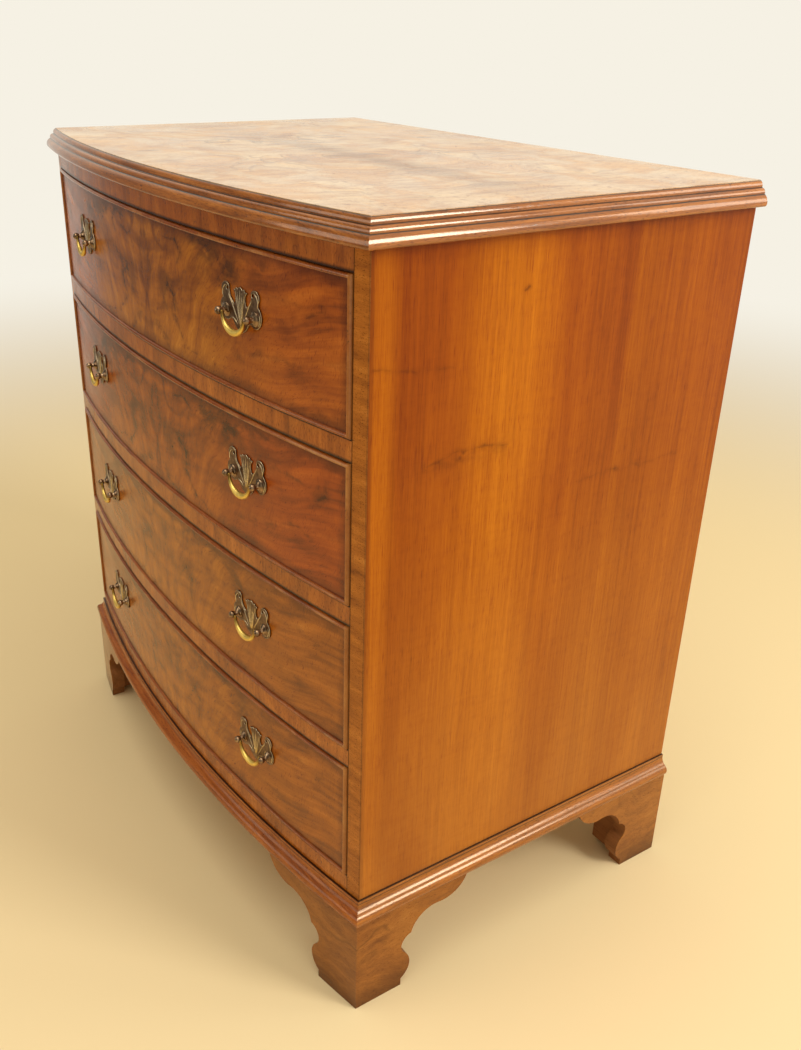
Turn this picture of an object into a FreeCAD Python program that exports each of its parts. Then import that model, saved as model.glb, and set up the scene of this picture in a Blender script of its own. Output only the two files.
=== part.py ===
"""Bow front chest of drawers.

A veneered carcass of sides, bowed rails and a moulded top stands on a mitred base frame with
bracket feet. Four dovetailed drawers with cock beaded bow fronts slide in it, and each drawer has
two pierced back plates whose bails swing in ball headed posts.

Millimetres. X runs left to right, Y front to back, Z up. The origin is on the floor, under the
middle of the whole chest, moulding included.
"""
import FreeCAD, Part

import math
import os

V = FreeCAD.Vector
UP = V(0, 0, 1)

# ---- carcass ---------------------------------------------------------------------------------
carcass_width = 700.0
side_depth = 432.0            # side panel, front corner to back edge
bow_rise = 36.0               # how far the middle of the front stands ahead of its corners
side_thickness = 17.0
top_thickness = 18.0
frieze_height = 26.0
opening_height = 134.0
rail_thickness = 20.0
rail_depth = 45.0             # back edge of a rail behind the front corner
rail_tenon_length = 8.0
rail_tenon_thickness = 10.0
rail_tenon_inset = 8.0        # tenon stands back from the front corner and the rail's back edge
back_thickness = 6.0
back_rebate = 9.0
bottom_panel_thickness = 6.0
runner_width = 22.0
rear_rail_thickness = 20.0
stop_length = 30.0
stop_width = 16.0
stop_height = 6.0
stop_spacing = 300.0
stop_clearance = 0.3
drawer_count = 4

# ---- mouldings -------------------------------------------------------------------------------
top_moulding_height = 22.5
top_moulding_reach = 11.4
top_moulding_lip = 0.6        # top surface stands this far above the moulding
base_moulding_height = 26.0
base_moulding_reach = 11.7
base_frame_inset = 24.0       # base frame runs this far in under the carcass
flats_per_arc = 4             # flats that stand for each round of a moulding or a plate

# ---- bracket feet ----------------------------------------------------------------------------
foot_height = 114.0
foot_proud = 9.0              # outer face of a bracket beyond the carcass side
foot_thickness = 18.0
foot_span = 138.0             # length of a scrolled bracket from its corner
foot_toe = 56.5               # width of a bracket at the floor
foot_block_size = 34.0
foot_block_clearance = 6.0    # corner block stops short of the floor
rear_bracket_span = 100.0
rear_bracket_toe = 46.0
rear_bracket_drop = 40.0

# ---- drawers ---------------------------------------------------------------------------------
drawer_side_gap = 1.0
front_gap_below = 0.8
front_gap_above = 1.0
front_thickness = 20.0
drawer_side_thickness = 11.0
drawer_side_headroom = 4.0
drawer_back_thickness = 10.0
drawer_back_drop = 6.0        # back is this much lower than the sides
drawer_rear_gap = 12.0
drawer_bottom_thickness = 5.0
drawer_bottom_rise = 9.0      # underside of the bottom above the lower edge of the sides
side_groove_depth = 5.0
front_groove_depth = 6.0
lap_thickness = 9.0           # wood left in front of the lapped dovetails
front_tails = 4
back_tails = 3
pin_width = 8.0               # narrow face of a dovetail pin
dovetail_slope = 1.0 / 7.0
bead_width = 4.0
bead_rebate = 7.0
bead_proud = 2.5
bead_ease = 1.2               # width of the eased edges of its nose

# ---- handles ---------------------------------------------------------------------------------
handle_x = 189.5              # handle centre from the middle of the drawer
handle_rise = 6.6             # post line above the middle of the opening
plate_thickness = 1.5
plate_margin = 2.9            # plate standing past the flange of a post at its widest
plate_rise = 23.0             # peak of the plate above the post line
plate_drop = 17.0             # tip of the plate below the post line
plate_hole_radius = 1.9
post_half_spacing = 22.2
post_flange_radius = 6.5
post_flange_height = 3.2
post_neck_radius = 2.4
post_ball_radius = 3.75
post_ball_stand = 9.5         # centre of the ball from the drawer front
post_ball_turns = (-50, -18, 18, 50, 78)    # degrees of the ball's rings from its widest
shank_radius = 2.0
shank_clearance = 0.1
shank_bore_radius = 2.5
nut_width = 8.0
nut_thickness = 3.0
shank_spare = 2.0             # shank standing past its nut
bail_outer_radius = 18.5
bail_end_radius = 1.6
bail_middle_radius = 3.1
bail_pin_radius = 1.4
bail_eye_radius = 1.75        # its inner flats clear the pin all round
bail_pin_entry = 1.5          # pin runs this far past the middle of the ball
bail_pin_end_gap = 0.5
bail_sections = 9
ring_sides = 8                # flats on small rods, bores and turned heads

# ---- places worked out from the sizes --------------------------------------------------------
half_width = carcass_width / 2
inner_half = half_width - side_thickness
moulding_reach = max(top_moulding_reach, base_moulding_reach)
overall_depth = side_depth + bow_rise + moulding_reach
back_y = overall_depth / 2
corner_y = back_y - side_depth
bow_radius = (half_width ** 2 + bow_rise ** 2) / (2 * bow_rise)
bow_centre_y = corner_y - bow_rise + bow_radius
base_top = foot_height + base_moulding_height
lowest_opening = base_top + rail_thickness
opening_pitch = opening_height + rail_thickness
frieze_bottom = lowest_opening + drawer_count * opening_pitch - rail_thickness
top_underside = frieze_bottom + frieze_height
overall_height = top_underside + top_thickness
rail_back_y = corner_y + rail_depth
back_inner_y = back_y - back_thickness
drawer_half = inner_half - drawer_side_gap
drawer_side_inner = drawer_half - drawer_side_thickness
drawer_side_height = opening_height - drawer_side_headroom
drawer_back_y = back_inner_y - drawer_rear_gap
drawer_floor_rise = drawer_bottom_rise + drawer_bottom_thickness
beyond = 20.0                 # cutting solids run this far past what they cut


def opening_floor(number):
    """Top of the rail under drawer `number`, counted from the top."""
    return lowest_opening + (drawer_count - number) * opening_pitch


# ---- basic shapes ----------------------------------------------------------------------------
def box(x, y, z):
    """Block between the (low, high) pairs x, y and z."""
    block = Part.makeBox(x[1] - x[0], y[1] - y[0], z[1] - z[0])
    return block.translated(V(x[0], y[0], z[0]))


def bow_y(x, proud=0.0):
    """Y of the bow at x, for a surface `proud` outside the carcass front."""
    return bow_centre_y - math.sqrt((bow_radius + proud) ** 2 - x ** 2)


def bow_arc(x_from, x_to, proud, z):
    """Edge along the bow from x_from to x_to."""
    stations = (x_from, (x_from + x_to) / 2, x_to)
    return Part.Arc(*[V(x, bow_y(x, proud), z) for x in stations]).toShape()


def line(start, end):
    return Part.LineSegment(start, end).toShape()


def prism(edges, direction):
    """Solid made by pushing the closed outline `edges` along `direction`."""
    return Part.Face(Part.Wire(Part.__sortEdges__(edges))).extrude(direction)


def polygon_prism(points, direction):
    corners = list(points) + [points[0]]
    return Part.Face(Part.makePolygon(corners)).extrude(direction)


def small_ring(radius, centre, axis):
    """Outline of a small round part, with few flats because the part repeats."""
    across = V(0, 1, 0) if abs(axis.x) > 0.5 else V(1, 0, 0)
    upright = axis.cross(across)
    turns = [math.radians(360 * index / ring_sides) for index in range(ring_sides + 1)]
    return Part.makePolygon([centre + across * (radius * math.cos(turn))
                             + upright * (radius * math.sin(turn)) for turn in turns])


def small_rod(radius, start, along):
    """Rod, or the bore for one, from `start` and as long as the vector `along`."""
    axis = V(along).normalize()
    return Part.Face(small_ring(radius, start, axis)).extrude(along)


def bow_fronted_board(x, proud, y_back, z):
    """Flat board with a bowed front edge and a straight back edge."""
    left = V(x[0], bow_y(x[0], proud), z[0])
    right = V(x[1], bow_y(x[1], proud), z[0])
    back_right = V(x[1], y_back, z[0])
    back_left = V(x[0], y_back, z[0])
    edges = [bow_arc(x[0], x[1], proud, z[0]), line(right, back_right),
             line(back_right, back_left), line(back_left, left)]
    return prism(edges, UP * (z[1] - z[0]))


def bowed_board(x, proud, thickness, z):
    """Board of even thickness bent to the bow, its outer face `proud` of the carcass front."""
    inner = proud - thickness
    ends = [line(V(end, bow_y(end, proud), z[0]), V(end, bow_y(end, inner), z[0])) for end in x]
    edges = [bow_arc(x[0], x[1], proud, z[0]), bow_arc(x[0], x[1], inner, z[0])] + ends
    return prism(edges, UP * (z[1] - z[0]))


def mirrored(shape):
    """The same piece for the other side of the chest."""
    return shape.mirror(V(0, 0, 0), V(1, 0, 0))


def both_sides(shape):
    return Part.Compound([mirrored(shape), shape])


def save(node, shape):
    shape.exportStep("parts/" + node + ".step")


# ---- mouldings -------------------------------------------------------------------------------
def outline_edges(start, steps):
    """Edges of an outline. A step is (end,) for a line or (through, end) for an arc."""
    edges = []
    for step in steps:
        if len(step) == 1:
            edges.append(line(start, step[0]))
        else:
            edges.append(Part.Arc(start, step[0], step[1]).toShape())
        start = step[-1]
    return edges


def flat_sided_points(edges):
    """Points of an outline whose arcs are cut into flats."""
    points = [edges[0].Vertexes[0].Point]
    for edge in edges:
        pieces = flats_per_arc if isinstance(edge.Curve, Part.Circle) else 1
        points += edge.discretize(Number=pieces + 1)[1:]
    return points


def flat_sided_face(edges):
    """Face of a flat sided outline, which long curved runs need to mesh."""
    return Part.Face(Part.makePolygon(flat_sided_points(edges)))


def top_moulding_outline(place):
    """Three thumb beads, each stepped out under the last; place(out, down) gives a point."""
    reach = top_moulding_reach
    height = top_moulding_height
    steps = [
        (place(0.03 * reach, 0),),
        (place(0.22 * reach, 0.10 * height), place(0.26 * reach, 0.25 * height)),
        (place(0.31 * reach, 0.27 * height),),
        (place(0.57 * reach, 0.36 * height), place(0.61 * reach, 0.50 * height)),
        (place(0.67 * reach, 0.52 * height),),
        (place(0.95 * reach, 0.70 * height), place(reach, 0.86 * height)),
        (place(0.92 * reach, 0.96 * height), place(0.76 * reach, height)),
        (place(0, height),),
        (place(0, 0),),
    ]
    return outline_edges(place(0, 0), steps)


def base_moulding_outline(place):
    """Fillet, hollow and round nose on the edge of the base frame."""
    reach = base_moulding_reach
    height = base_moulding_height
    fillet = 0.2 * reach
    steps = [
        (place(fillet, 0),),
        (place(fillet, 0.15 * height),),
        (place(0.34 * reach, 0.36 * height), place(0.68 * reach, 0.49 * height)),
        (place(reach, 0.745 * height), place(foot_proud, 0.97 * height)),
        (place(foot_proud, height),),
        (place(-base_frame_inset, height),),
        (place(-base_frame_inset, 0),),
        (place(0, 0),),
    ]
    return outline_edges(place(0, 0), steps)


def corner_point(proud, z):
    """Where the side and the bow meet when both are `proud` of the carcass."""
    x = half_width + proud
    return V(x, bow_y(x, proud), z)


def behind_mitre(outer, inner, z):
    """Everything behind the mitre of the right front corner, for pieces from inner to outer."""
    near = corner_point(outer, z[0])
    along = (near - corner_point(inner, z[0])).normalize() * beyond
    start = corner_point(inner, z[0]) - along
    end = near + along
    back = back_y + beyond
    corners = [start, end, V(end.x, back, z[0]), V(start.x, back, z[0])]
    return polygon_prism(corners, UP * (z[1] - z[0]))


def front_moulding(outline, top_z, reach, inset, height):
    """Moulding run along the bow and mitred at both corners."""
    def place(out, down):
        return V(0, bow_centre_y - bow_radius - out, top_z - down)
    run_end = half_width + reach + beyond / 2
    half_angle = math.degrees(math.asin(run_end / (bow_radius + reach)))
    axis_point = V(0, bow_centre_y, 0)
    face = flat_sided_face(outline(place))
    face.rotate(axis_point, UP, -half_angle)
    run = face.revolve(axis_point, UP, 2 * half_angle)
    mitre = behind_mitre(reach, -inset, (top_z - height - beyond, top_z + beyond))
    return run.cut(mitre).cut(mirrored(mitre))


def side_moulding(outline, top_z, reach, inset, height):
    """Moulding run along the right side, mitred at the front and square at the back."""
    start_y = bow_y(0, reach)

    def place(out, down):
        return V(half_width + out, start_y, top_z - down)
    run = flat_sided_face(outline(place)).extrude(V(0, back_y - start_y, 0))
    return run.common(behind_mitre(reach, -inset, (top_z - height - beyond, top_z + beyond)))


def build_mouldings():
    top_run = (top_moulding_outline, overall_height - top_moulding_lip, top_moulding_reach, 0,
               top_moulding_height)
    base_run = (base_moulding_outline, base_top, base_moulding_reach, base_frame_inset,
                base_moulding_height)
    for name, run in (("top_moulding", top_run), ("base_moulding", base_run)):
        side = side_moulding(*run)
        save(name + "_front", front_moulding(*run))
        save(name + "_right", side)
        save(name + "_left", mirrored(side))


# ---- carcass ---------------------------------------------------------------------------------
def rail_levels():
    """(name, bottom, top) of every front rail."""
    levels = [("frieze_rail", frieze_bottom, top_underside)]
    for number in range(1, drawer_count):
        top = opening_floor(number)
        levels.append(("divider_rail_%d" % number, top - rail_thickness, top))
    levels.append(("bottom_rail", base_top, lowest_opening))
    return levels


def rail_tenon(bottom, top):
    """Right hand stub tenon of a front rail, which also cuts its mortise."""
    middle = (bottom + top) / 2
    return box((inner_half, inner_half + rail_tenon_length),
               (corner_y + rail_tenon_inset, rail_back_y - rail_tenon_inset),
               (middle - rail_tenon_thickness / 2, middle + rail_tenon_thickness / 2))


def rear_rail_tenon():
    middle = (frieze_bottom + top_underside) / 2
    depth_middle = back_inner_y - rear_rail_thickness / 2
    half = rail_tenon_thickness / 2
    return box((inner_half, inner_half + rail_tenon_length),
               (depth_middle - half, depth_middle + half), (middle - half, middle + half))


def build_rails():
    for name, bottom, top in rail_levels():
        rail = bow_fronted_board((-inner_half, inner_half), 0, rail_back_y, (bottom, top))
        tenon = rail_tenon(bottom, top)
        save(name, rail.fuse([tenon, mirrored(tenon)]))


def build_sides():
    side = bow_fronted_board((inner_half, half_width), 0, back_y, (base_top, top_underside))
    rebate = box((inner_half - beyond, inner_half + back_rebate), (back_inner_y, back_y + beyond),
                 (base_top - beyond, top_underside + beyond))
    mortises = [rail_tenon(bottom, top) for _, bottom, top in rail_levels()]
    side = side.cut([rebate, rear_rail_tenon()] + mortises)
    save("side_right", side)
    save("side_left", mirrored(side))


def build_top_and_back():
    save("top_panel", bow_fronted_board((-half_width, half_width), 0, back_y,
                                        (top_underside, overall_height)))
    panel_half = inner_half + back_rebate
    save("back_panel", box((-panel_half, panel_half), (back_inner_y, back_y),
                           (base_top, top_underside)))


def build_rear_rails():
    """Top rail behind the top drawer and the back member of the base frame."""
    top_rail = box((-inner_half, inner_half), (back_inner_y - rear_rail_thickness, back_inner_y),
                   (frieze_bottom, top_underside))
    tenon = rear_rail_tenon()
    frame_half = half_width - base_frame_inset
    frame_back = box((-frame_half, frame_half), (back_y - base_frame_inset, back_y),
                     (foot_height, base_top))
    save("rear_rails", Part.Compound([top_rail.fuse([tenon, mirrored(tenon)]), frame_back]))


def build_drawer_supports():
    """Runners beside the drawers, kickers over the top one, and the bottom panel."""
    strip_x = (inner_half - runner_width, inner_half)
    runners = []
    for number in range(1, drawer_count + 1):
        top = opening_floor(number)
        bottom = top - rail_thickness
        if number == drawer_count:
            bottom = base_top + bottom_panel_thickness
        runners.append(box(strip_x, (rail_back_y, back_inner_y), (bottom, top)))
    kicker = box(strip_x, (rail_back_y, back_inner_y - rear_rail_thickness),
                 (frieze_bottom, top_underside))
    save("drawer_runners", Part.Compound([both_sides(runner) for runner in runners]))
    save("top_drawer_kickers", both_sides(kicker))
    save("bottom_panel", box((-inner_half, inner_half), (rail_back_y, back_inner_y),
                             (base_top, base_top + bottom_panel_thickness)))


def build_drawer_stops():
    """Two blocks on the rail behind each drawer front."""
    low_x = (stop_spacing - stop_length) / 2
    high_x = (stop_spacing + stop_length) / 2
    front = bow_y(high_x, -front_thickness) + stop_clearance
    stops = []
    for number in range(1, drawer_count + 1):
        floor = opening_floor(number)
        block = box((low_x, high_x), (front, front + stop_width), (floor, floor + stop_height))
        stops.append(both_sides(block))
    save("drawer_stops", Part.Compound(stops))


# ---- bracket feet ----------------------------------------------------------------------------
def scroll_outline(place):
    """Elevation of a scrolled bracket; place(out, up) gives a point `out` from its corner."""
    toe = foot_toe
    span = foot_span
    height = foot_height
    cusp = toe + 0.14 * (span - toe)
    cove_top = toe + 0.58 * (span - toe)
    steps = [
        (place(toe, 0),),
        (place(toe, 0.08 * height),),
        (place(toe + 0.13 * (span - toe), 0.23 * height), place(toe + 2, 0.41 * height)),
        (place(toe + 1, 0.54 * height), place(cusp, 0.61 * height)),
        (place(toe + 0.25 * (span - toe), 0.75 * height), place(cove_top, 0.82 * height)),
        (place(toe + 0.88 * (span - toe), 0.88 * height), place(span, height)),
        (place(0, height),),
        (place(0, 0),),
    ]
    return outline_edges(place(0, 0), steps)


def front_bracket():
    """Right front bracket under the bow, with its half of the mitre."""
    outer_x = half_width + foot_proud
    board = bowed_board((outer_x - foot_span, outer_x), foot_proud, foot_thickness,
                        (0, foot_height))

    def place(out, up):
        return V(outer_x - out, -overall_depth, up)
    scroll = prism(scroll_outline(place), V(0, 2 * overall_depth, 0))
    mitre = behind_mitre(foot_proud, foot_proud - foot_thickness, (-beyond, foot_height + beyond))
    return board.common(scroll).cut(mitre)


def side_bracket(corner, towards):
    """Scrolled bracket on the right side, from y `corner` towards +1 (back) or -1 (front)."""
    inner_x = half_width + foot_proud - foot_thickness

    def place(out, up):
        return V(inner_x, corner + towards * out, up)
    return prism(scroll_outline(place), V(foot_thickness, 0, 0))


def front_foot():
    """Right front foot: two mitred brackets and the block glued in their corner."""
    inner = foot_proud - foot_thickness
    side = side_bracket(corner_point(foot_proud, 0).y, 1)
    mitre = behind_mitre(foot_proud, inner, (-beyond, foot_height + beyond))
    inner_x = half_width + inner
    block_back = corner_point(inner, 0).y + foot_block_size
    block = bow_fronted_board((inner_x - foot_block_size, inner_x), inner, block_back,
                              (foot_block_clearance, foot_height))
    return Part.Compound([front_bracket(), side.common(mitre), block])


def rear_foot():
    """Right rear foot: a scrolled side bracket, a plain back bracket and a corner block."""
    inner_x = half_width + foot_proud - foot_thickness
    y = back_y - foot_thickness
    low = foot_height - rear_bracket_drop
    corners = [V(inner_x, y, 0), V(inner_x - rear_bracket_toe, y, 0),
               V(inner_x - rear_bracket_toe, y, low), V(inner_x - rear_bracket_span, y, foot_height),
               V(inner_x, y, foot_height)]
    back_bracket = polygon_prism(corners, V(0, foot_thickness, 0))
    block = box((inner_x - foot_block_size, inner_x), (y - foot_block_size, y),
                (foot_block_clearance, foot_height))
    return Part.Compound([side_bracket(back_y, -1), back_bracket, block])


def build_feet():
    for place, foot in (("front", front_foot()), ("rear", rear_foot())):
        save("foot_" + place + "_right", foot)
        save("foot_" + place + "_left", mirrored(foot))


# ---- drawers ---------------------------------------------------------------------------------
def tail_prisms(y_narrow, y_wide, z, count):
    """Dovetail tails across the right drawer side, widening from y_narrow to y_wide."""
    pitch = (z[1] - z[0]) / count
    flare = dovetail_slope * abs(y_wide - y_narrow)
    wide = (pitch - pin_width) / 2
    narrow = wide - flare
    tails = []
    for index in range(count):
        middle = z[0] + (index + 0.5) * pitch
        corners = [V(drawer_side_inner, y_narrow, middle - narrow),
                   V(drawer_side_inner, y_wide, middle - wide),
                   V(drawer_side_inner, y_wide, middle + wide),
                   V(drawer_side_inner, y_narrow, middle + narrow)]
        tails.append(polygon_prism(corners, V(drawer_side_thickness, 0, 0)))
    return tails


def lapped_tails(floor):
    """Tails of the right side that enter the back of the drawer front."""
    side_z = (floor, floor + drawer_side_height)
    y_wide = bow_y(drawer_side_inner, -lap_thickness)
    y_narrow = bow_y(drawer_half, -front_thickness)
    joint = bowed_board((drawer_side_inner, drawer_half), -lap_thickness,
                        front_thickness - lap_thickness, side_z)
    return [tail.common(joint) for tail in tail_prisms(y_narrow, y_wide, side_z, front_tails)]


def back_level(floor):
    """(bottom, top) of the drawer back, which stands on the drawer bottom."""
    return floor + drawer_floor_rise, floor + drawer_side_height - drawer_back_drop


def through_tails(floor):
    """Tails of the right side that pass through the drawer back."""
    y_narrow = drawer_back_y - drawer_back_thickness
    return tail_prisms(y_narrow, drawer_back_y, back_level(floor), back_tails)


def drawer_bottom(floor):
    half = drawer_side_inner + side_groove_depth
    level = (floor + drawer_bottom_rise, floor + drawer_floor_rise)
    return bow_fronted_board((-half, half), front_groove_depth - front_thickness, drawer_back_y,
                             level)


def drawer_side(floor):
    """Right side: dovetailed at both ends and grooved for the bottom."""
    side_z = (floor, floor + drawer_side_height)
    board = bow_fronted_board((drawer_side_inner, drawer_half), -front_thickness, drawer_back_y,
                              side_z)
    corner = box((drawer_side_inner, drawer_half),
                 (drawer_back_y - drawer_back_thickness, drawer_back_y), back_level(floor))
    pins = corner.cut(through_tails(floor))
    return board.fuse(lapped_tails(floor)).cut([pins, drawer_bottom(floor)]).removeSplitter()


def drawer_back(floor):
    tails = through_tails(floor)
    board = box((-drawer_half, drawer_half),
                (drawer_back_y - drawer_back_thickness, drawer_back_y), back_level(floor))
    return board.cut(tails + [mirrored(tail) for tail in tails])


def front_level(floor):
    """(bottom, top) of the drawer front in its opening."""
    return floor + front_gap_below, floor + opening_height - front_gap_above


def drawer_front(floor):
    """Bowed front: rebated for the bead, socketed for the sides, grooved and bored."""
    low, high = front_level(floor)
    core = bowed_board((-drawer_half, drawer_half), -bead_rebate, front_thickness - bead_rebate,
                       (low, high))
    field_half = drawer_half - bead_width
    field = bowed_board((-field_half, field_half), 0, bead_rebate,
                        (low + bead_width, high - bead_width))
    tails = lapped_tails(floor)
    cuts = tails + [mirrored(tail) for tail in tails] + [drawer_bottom(floor)]
    for side in (-1, 1):
        for end in (-1, 1):
            cuts.append(on_handle(handle_bore(end), side, floor))
    return core.fuse(field).cut(cuts)


def bead_strips(floor):
    """Cock bead: four strips with eased noses, mitred round the drawer front."""
    low, high = front_level(floor)
    shoulder = bead_proud - bead_ease
    half = drawer_half
    inner = half - bead_width
    front_y = bow_y(0, bead_proud) - beyond
    depth = V(0, beyond + bow_y(half, -bead_rebate) + beyond - bow_y(0, bead_proud), 0)

    def elevation(corners):
        return polygon_prism([V(x, front_y, z) for x, z in corners], depth)

    def rail(bottom):
        def place(out, up):
            return V(0, bow_centre_y - bow_radius - out, bottom + up)
        corners = [place(-bead_rebate, 0), place(shoulder, 0), place(bead_proud, bead_ease),
                   place(bead_proud, bead_width - bead_ease), place(shoulder, bead_width),
                   place(-bead_rebate, bead_width), place(-bead_rebate, 0)]
        face = Part.Face(Part.makePolygon(corners))
        angle = math.degrees(math.asin((half + beyond) / bow_radius))
        face.rotate(V(0, bow_centre_y, 0), UP, -angle)
        return face.revolve(V(0, bow_centre_y, 0), UP, 2 * angle)

    section = [(half, -bead_rebate), (half, shoulder), (half - bead_ease, bead_proud),
               (inner + bead_ease, bead_proud), (inner, shoulder), (inner, -bead_rebate)]
    corners = [V(x, bow_y(x, proud), low) for x, proud in section]
    upright = prism([line(*pair) for pair in zip(corners, corners[1:])]
                    + [bow_arc(inner, half, -bead_rebate, low)], UP * (high - low))
    top = rail(high - bead_width).common(
        elevation([(-half, high), (half, high), (inner, high - bead_width),
                   (-inner, high - bead_width)]))
    bottom = rail(low).common(
        elevation([(-half, low), (half, low), (inner, low + bead_width),
                   (-inner, low + bead_width)]))
    right = upright.common(
        elevation([(half, low), (half, high), (inner, high - bead_width),
                   (inner, low + bead_width)]))
    return Part.Compound([top, bottom, right, mirrored(right)])


def build_drawers():
    for number in range(1, drawer_count + 1):
        name = "drawer_%d_" % number
        floor = opening_floor(number)
        save(name + "front", drawer_front(floor))
        save(name + "cock_bead", bead_strips(floor))
        save(name + "sides", both_sides(drawer_side(floor)))
        save(name + "back", drawer_back(floor))
        save(name + "bottom", drawer_bottom(floor))


# ---- handles ---------------------------------------------------------------------------------
# A handle is drawn with its post line on the X axis and its back in the XZ plane, facing -Y.
def on_handle(shape, side, floor):
    """Put a handle piece on the bow, at the left (-1) or right (1) of a drawer."""
    x = side * handle_x
    turn = math.degrees(math.asin(x / bow_radius))
    placed = shape.rotated(V(0, 0, 0), UP, turn)
    return placed.translated(V(x, bow_y(x), floor + opening_height / 2 + handle_rise))


def handle_bore(end):
    """Clearance hole for the shank of the left (-1) or right (1) post."""
    return small_rod(shank_bore_radius, V(end * post_half_spacing, -beyond, 0),
                     V(0, front_thickness + 2 * beyond, 0))


def plate_point(out, up):
    """Point of the plate, as shares of its half width and of its rise or its drop."""
    plate_half_width = post_half_spacing + post_flange_radius + plate_margin
    return V(out * plate_half_width, 0, up * (plate_rise if up > 0 else plate_drop))


def plate_half_outline():
    """Right half of the pierced plate, from the fan's peak to the bottom tip."""
    place = plate_point
    fan = [(place(0.114, 0.904),), (place(0.209, 0.930),), (place(0.228, 0.843),),
           (place(0.329, 0.843),), (place(0.228, 0.548), place(0.297, 0.296))]
    ear = [(place(0.481, 0.548), place(0.538, 0.930)), (place(0.747, 1.043), place(0.911, 0.722)),
           (place(0.854, 0.452),)]
    lobe = [(place(1.0, 0.104), place(0.842, -0.447)),
            (place(0.696, -0.541), place(0.570, -0.471)), (place(0.462, -0.400),),
            (place(0.361, -0.482),), (place(0.222, -0.800), place(0, -1))]
    return outline_edges(place(0, 1), fan + ear + lobe)


def handle_plate():
    """Pierced back plate with two ears, a fan between them and a lobe under each post."""
    right = flat_sided_points(plate_half_outline())
    left = [V(-point.x, point.y, point.z) for point in reversed(right[1:-1])]
    plate = polygon_prism(right + left, V(0, -plate_thickness, 0))
    ear_eye = plate_point(0.620, 0.835)
    through = V(0, 2 * beyond, 0)
    holes = []
    for end in (-1, 1):
        holes.append(small_rod(plate_hole_radius, V(end * ear_eye.x, -beyond, ear_eye.z), through))
        holes.append(small_rod(shank_radius + shank_clearance,
                               V(end * post_half_spacing, -beyond, 0), through))
    return plate.cut(holes)


def handle_post(end):
    """Post: a shank, a domed flange, a neck and a ball head bored for the bail."""
    x = end * post_half_spacing
    dome_top = plate_thickness + post_flange_height
    profile = [(post_flange_radius, plate_thickness),
               (0.8 * post_flange_radius, plate_thickness + 0.62 * post_flange_height),
               (post_neck_radius, dome_top)]
    for turn in post_ball_turns:
        profile.append((post_ball_radius * math.cos(math.radians(turn)),
                        post_ball_stand + post_ball_radius * math.sin(math.radians(turn))))
    rings = [small_ring(radius, V(x, -out, 0), V(0, 1, 0)) for radius, out in profile]
    shank = small_rod(shank_radius, V(x, -plate_thickness, 0),
                      V(0, plate_thickness + front_thickness + nut_thickness + shank_spare, 0))
    head = Part.makeLoft(rings, True, True)
    eye_depth = bail_pin_entry + bail_pin_end_gap
    eye = small_rod(bail_eye_radius, V(x + end * eye_depth, -post_ball_stand, 0),
                    V(-end * (eye_depth + 2 * post_ball_radius), 0, 0))
    return head.fuse(shank).cut(eye)


def handle_nut(end):
    """Hexagonal nut drawn up against the hollow back of the drawer front."""
    x = end * post_half_spacing
    radius = nut_width / math.sqrt(3)
    hollow = bow_radius - front_thickness
    outer_corner = post_half_spacing + radius
    seat = front_thickness + hollow - math.sqrt(hollow ** 2 - outer_corner ** 2)
    corners = [V(x + radius * math.cos(math.radians(angle)), seat,
                 radius * math.sin(math.radians(angle))) for angle in range(0, 360, 60)]
    nut = polygon_prism(corners, V(0, nut_thickness, 0))
    return nut.cut(small_rod(shank_radius + shank_clearance, V(x, seat - beyond, 0),
                             V(0, 2 * beyond, 0)))


def bail_section(angle):
    """Round section of the bail at `angle` degrees round from its lowest point."""
    swell = math.cos(math.radians(angle)) ** 2
    radius = bail_end_radius + (bail_middle_radius - bail_end_radius) * swell
    lowest = V(0, -post_ball_stand, radius - bail_outer_radius)
    section = small_ring(radius, lowest, V(1, 0, 0))
    section.rotate(V(0, 0, 0), V(0, 1, 0), -angle)
    return section


def bail():
    """Crescent bail hanging from its two pins."""
    angles = [180 * (index / (bail_sections - 1) - 0.5) for index in range(bail_sections)]
    elbow_left = bail_section(-90).translated(UP * bail_end_radius)
    elbow_right = bail_section(90).translated(UP * bail_end_radius)
    sections = [elbow_left] + [bail_section(angle) for angle in angles] + [elbow_right]
    crescent = Part.makeLoft(sections, True, True)
    elbow_x = bail_outer_radius - bail_end_radius
    pin_length = post_half_spacing + bail_pin_entry - elbow_x
    pins = [small_rod(bail_pin_radius, V(end * elbow_x, -post_ball_stand, 0),
                      V(end * pin_length, 0, 0)) for end in (-1, 1)]
    return crescent.fuse(pins)


def build_handles():
    plate = handle_plate()
    posts = {end: handle_post(end) for end in (-1, 1)}
    nuts = {end: handle_nut(end) for end in (-1, 1)}
    ring = bail()
    for number in range(1, drawer_count + 1):
        name = "drawer_%d_" % number
        floor = opening_floor(number)
        plates = []
        fittings = []
        for side, word in ((-1, "left"), (1, "right")):
            plates.append(on_handle(plate, side, floor))
            for end in (-1, 1):
                fittings.append(on_handle(posts[end], side, floor))
                fittings.append(on_handle(nuts[end], side, floor))
            save(name + "bail_" + word, on_handle(ring, side, floor))
        save(name + "handle_plates", Part.Compound(plates))
        save(name + "handle_posts", Part.Compound(fittings))


os.makedirs("parts", exist_ok=True)
build_top_and_back()
build_mouldings()
build_sides()
build_rails()
build_rear_rails()
build_drawer_supports()
build_drawer_stops()
build_feet()
build_drawers()
build_handles()
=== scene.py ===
"""Looks of the bow front chest on the fixed frame: woods, mouldings, brasses, light and camera."""
import cmath
import math

import bmesh
import bpy
from mathutils import Matrix, Vector


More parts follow.
